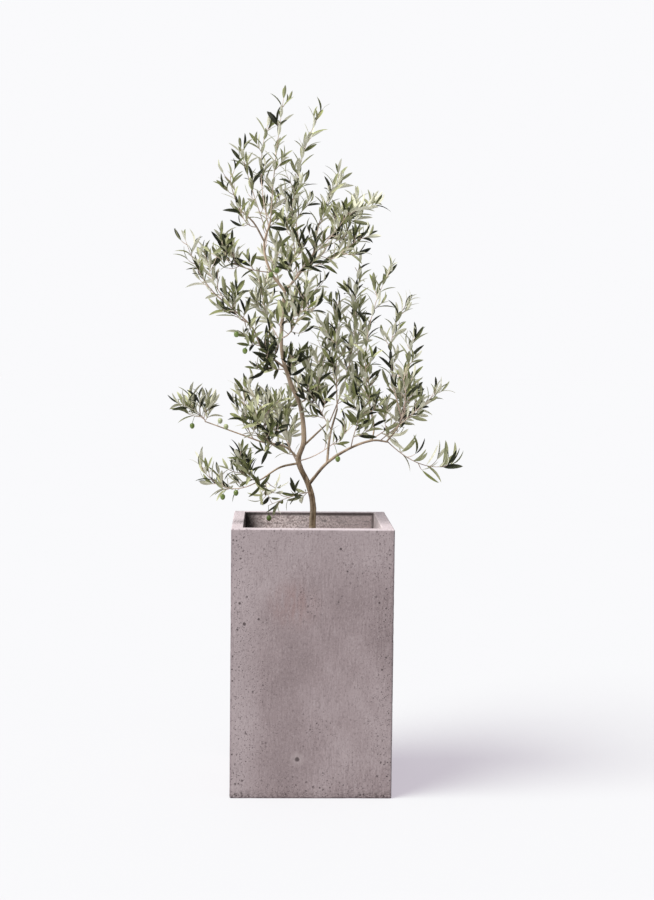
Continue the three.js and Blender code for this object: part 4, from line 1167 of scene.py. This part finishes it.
stems = stem_curves()
balls = obstacle_balls(stems)
stem_from = STEM_SPACE_START + BARE_SHARE_LEFT_OUT * of_masses("bare")
stem_shares = stem_from[:, None] + (1 - stem_from)[:, None] * np.linspace(0, 1, SPACE_SAMPLES)
stem_places = arc(stems, stem_shares).reshape(-1, 3)
stem_owners = np.repeat(np.arange(len(MASSES)), SPACE_SAMPLES)
twig_space = Space(stem_places, stem_owners, balls)
shoots, shoot_owner, shoot_angle, shoot_number = grow_shoots(stems, twig_space)
sprigs, sprig_owner, sprig_angle, sprig_number = grow_sprigs(
    shoots, shoot_owner, shoot_angle, shoot_number, twig_space)

shoot_shares = np.broadcast_to(np.linspace(LEAFLESS_SHOOT, 1, SHOOT_SAMPLES), (len(shoots), SHOOT_SAMPLES))
leaf_space = Space(
    np.vstack([stem_places, arc(shoots, shoot_shares).reshape(-1, 3)]),
    np.concatenate([stem_owners, np.repeat(shoot_owner, SHOOT_SAMPLES)]), balls)

twigs = np.concatenate([stems, shoots, sprigs])
twig_owner = np.concatenate([np.arange(len(MASSES)), shoot_owner, sprig_owner])
twig_angle = np.concatenate([np.zeros(len(MASSES)), shoot_angle, sprig_angle])
twig_number = np.concatenate([np.zeros(len(MASSES)), shoot_number, sprig_number])
leafless = np.concatenate([
    of_masses("bare") + LEAFLESS_STEM, np.full(len(shoots) + len(sprigs), LEAFLESS_SHOOT)])
grown = grow_leaves(twigs, twig_owner, twig_angle, twig_number, leafless)
fitting = leaves_in_space(grown, leaf_space)
leaves = tuple(part[fitting] for part in grown)

stem_radii = np.array([[mass["radius"], TWIG_TIP_RADIUS] for mass in MASSES])
side_radii = np.array([[SHOOT_RADIUS, TWIG_TIP_RADIUS]] * (len(shoots) + len(sprigs)))
twig_shapes = joined([
    tubes(stems, stem_radii, *STEM_TUBE), tubes(twigs[len(stems):], side_radii, *SHOOT_TUBE)])
piece("twigs", twig_shapes, [young_bark()], "foliage", mass_names)

leaf_shape, leaf_of_face, face_under = leaf_shapes(leaves)
leaf_materials = [leaf_material(*green) for green in LEAF_GREENS]
leaf_materials += [leaf_material(*silver, SILVER_SHEEN) for silver in LEAF_SILVERS]
piece("leaves", leaf_shape, leaf_materials, "foliage", mass_names,
      leaf_looks(leaves, leaf_of_face, face_under), smooth=False)

hold_shares = np.broadcast_to(np.linspace(0.1, 1, TWIG_HOLDS), (len(twigs), TWIG_HOLDS))
twig_places = arc(twigs, hold_shares).reshape(-1, 3)
limb_places = np.vstack([spline(LIMBS[name][2], np.linspace(0, 1, LIMB_HOLDS)) for name in limb_names])
holds = np.vstack([twig_places, limb_places])
piece("olives", olive_shapes(GREEN_OLIVES, holds),
      [olive_skin("olive_green", (0.1, 0.155, 0.028), (0.18, 0.25, 0.06))], "foliage", mass_names)
piece("olives_pale", olive_shapes(PALE_OLIVES, holds),
      [olive_skin("olive_pale", (0.34, 0.38, 0.2), (0.47, 0.5, 0.32))], "foliage", mass_names)

piece("concrete_planter", planter_shape(), [concrete()], "concrete", ["planter"])
piece("soil_surface", soil_shape(), [soil()], "soil", ["soil"])


# Floor, light and camera

def studio():
    """A pale floor, one large soft lamp from the upper left, and a pale backdrop all round.

    The backdrop looks as bright as the sky, and gives its fill light at a share of that.
    """
    mesh = bpy.data.meshes.new("floor")
    corners = [(x * FLOOR_HALF, y * FLOOR_HALF, 0) for x, y in ((-1, -1), (1, -1), (1, 1), (-1, 1))]
    mesh.from_pydata(corners, [], [(0, 1, 2, 3)])
    mesh.materials.append(floor_paint())
    ground = bpy.data.objects.new("floor", mesh)
    bpy.context.scene.collection.objects.link(ground)
    world = bpy.data.worlds.new("studio")
    world.use_nodes = True
    backdrop = world.node_tree.nodes["Background"]
    feed(backdrop.inputs["Color"], SKY)
    seen = world.node_tree.nodes.new("ShaderNodeLightPath").outputs["Is Camera Ray"]
    feed(backdrop.inputs["Strength"], level(seen, 0, 1, FILL_SHARE, 1))
    bpy.context.scene.world = world
    lamp = bpy.data.lights.new("window", "SUN")
    lamp.angle = LAMP_SOFTNESS
    lamp.color = LAMP_COLOUR
    lamp.energy = LAMP_STRENGTH
    lit = bpy.data.objects.new("window", lamp)
    lit.rotation_mode = "QUATERNION"
    lit.rotation_quaternion = Vector(lamp_way()).to_track_quat("-Z", "Y")
    bpy.context.scene.collection.objects.link(lit)


def camera():
    """A camera at the picture's own place, turned by its yaw, pitch and roll."""
    forward = np.array([np.sin(CAMERA_YAW) * np.cos(CAMERA_PITCH), np.cos(CAMERA_YAW) * np.cos(CAMERA_PITCH),
                        -np.sin(CAMERA_PITCH)])
    level_right = np.array([np.cos(CAMERA_YAW), -np.sin(CAMERA_YAW), 0.0])
    level_up = np.cross(level_right, forward)
    right = np.cos(CAMERA_ROLL) * level_right + np.sin(CAMERA_ROLL) * level_up
    upward = np.cos(CAMERA_ROLL) * level_up - np.sin(CAMERA_ROLL) * level_right
    lens = bpy.data.cameras.new("camera")
    lens.sensor_width = SENSOR
    lens.lens = FOCAL_LENGTH / max(IMAGE_SIZE) * SENSOR
    made = bpy.data.objects.new("camera", lens)
    turn = np.eye(4)
    turn[:3, 0], turn[:3, 1], turn[:3, 2], turn[:3, 3] = right, upward, -forward, CAMERA_PLACE * MM
    made.matrix_world = Matrix(turn.tolist())
    bpy.context.scene.collection.objects.link(made)
    bpy.context.scene.camera = made


studio()
camera()
bpy.context.scene.view_settings.view_transform = "Standard"
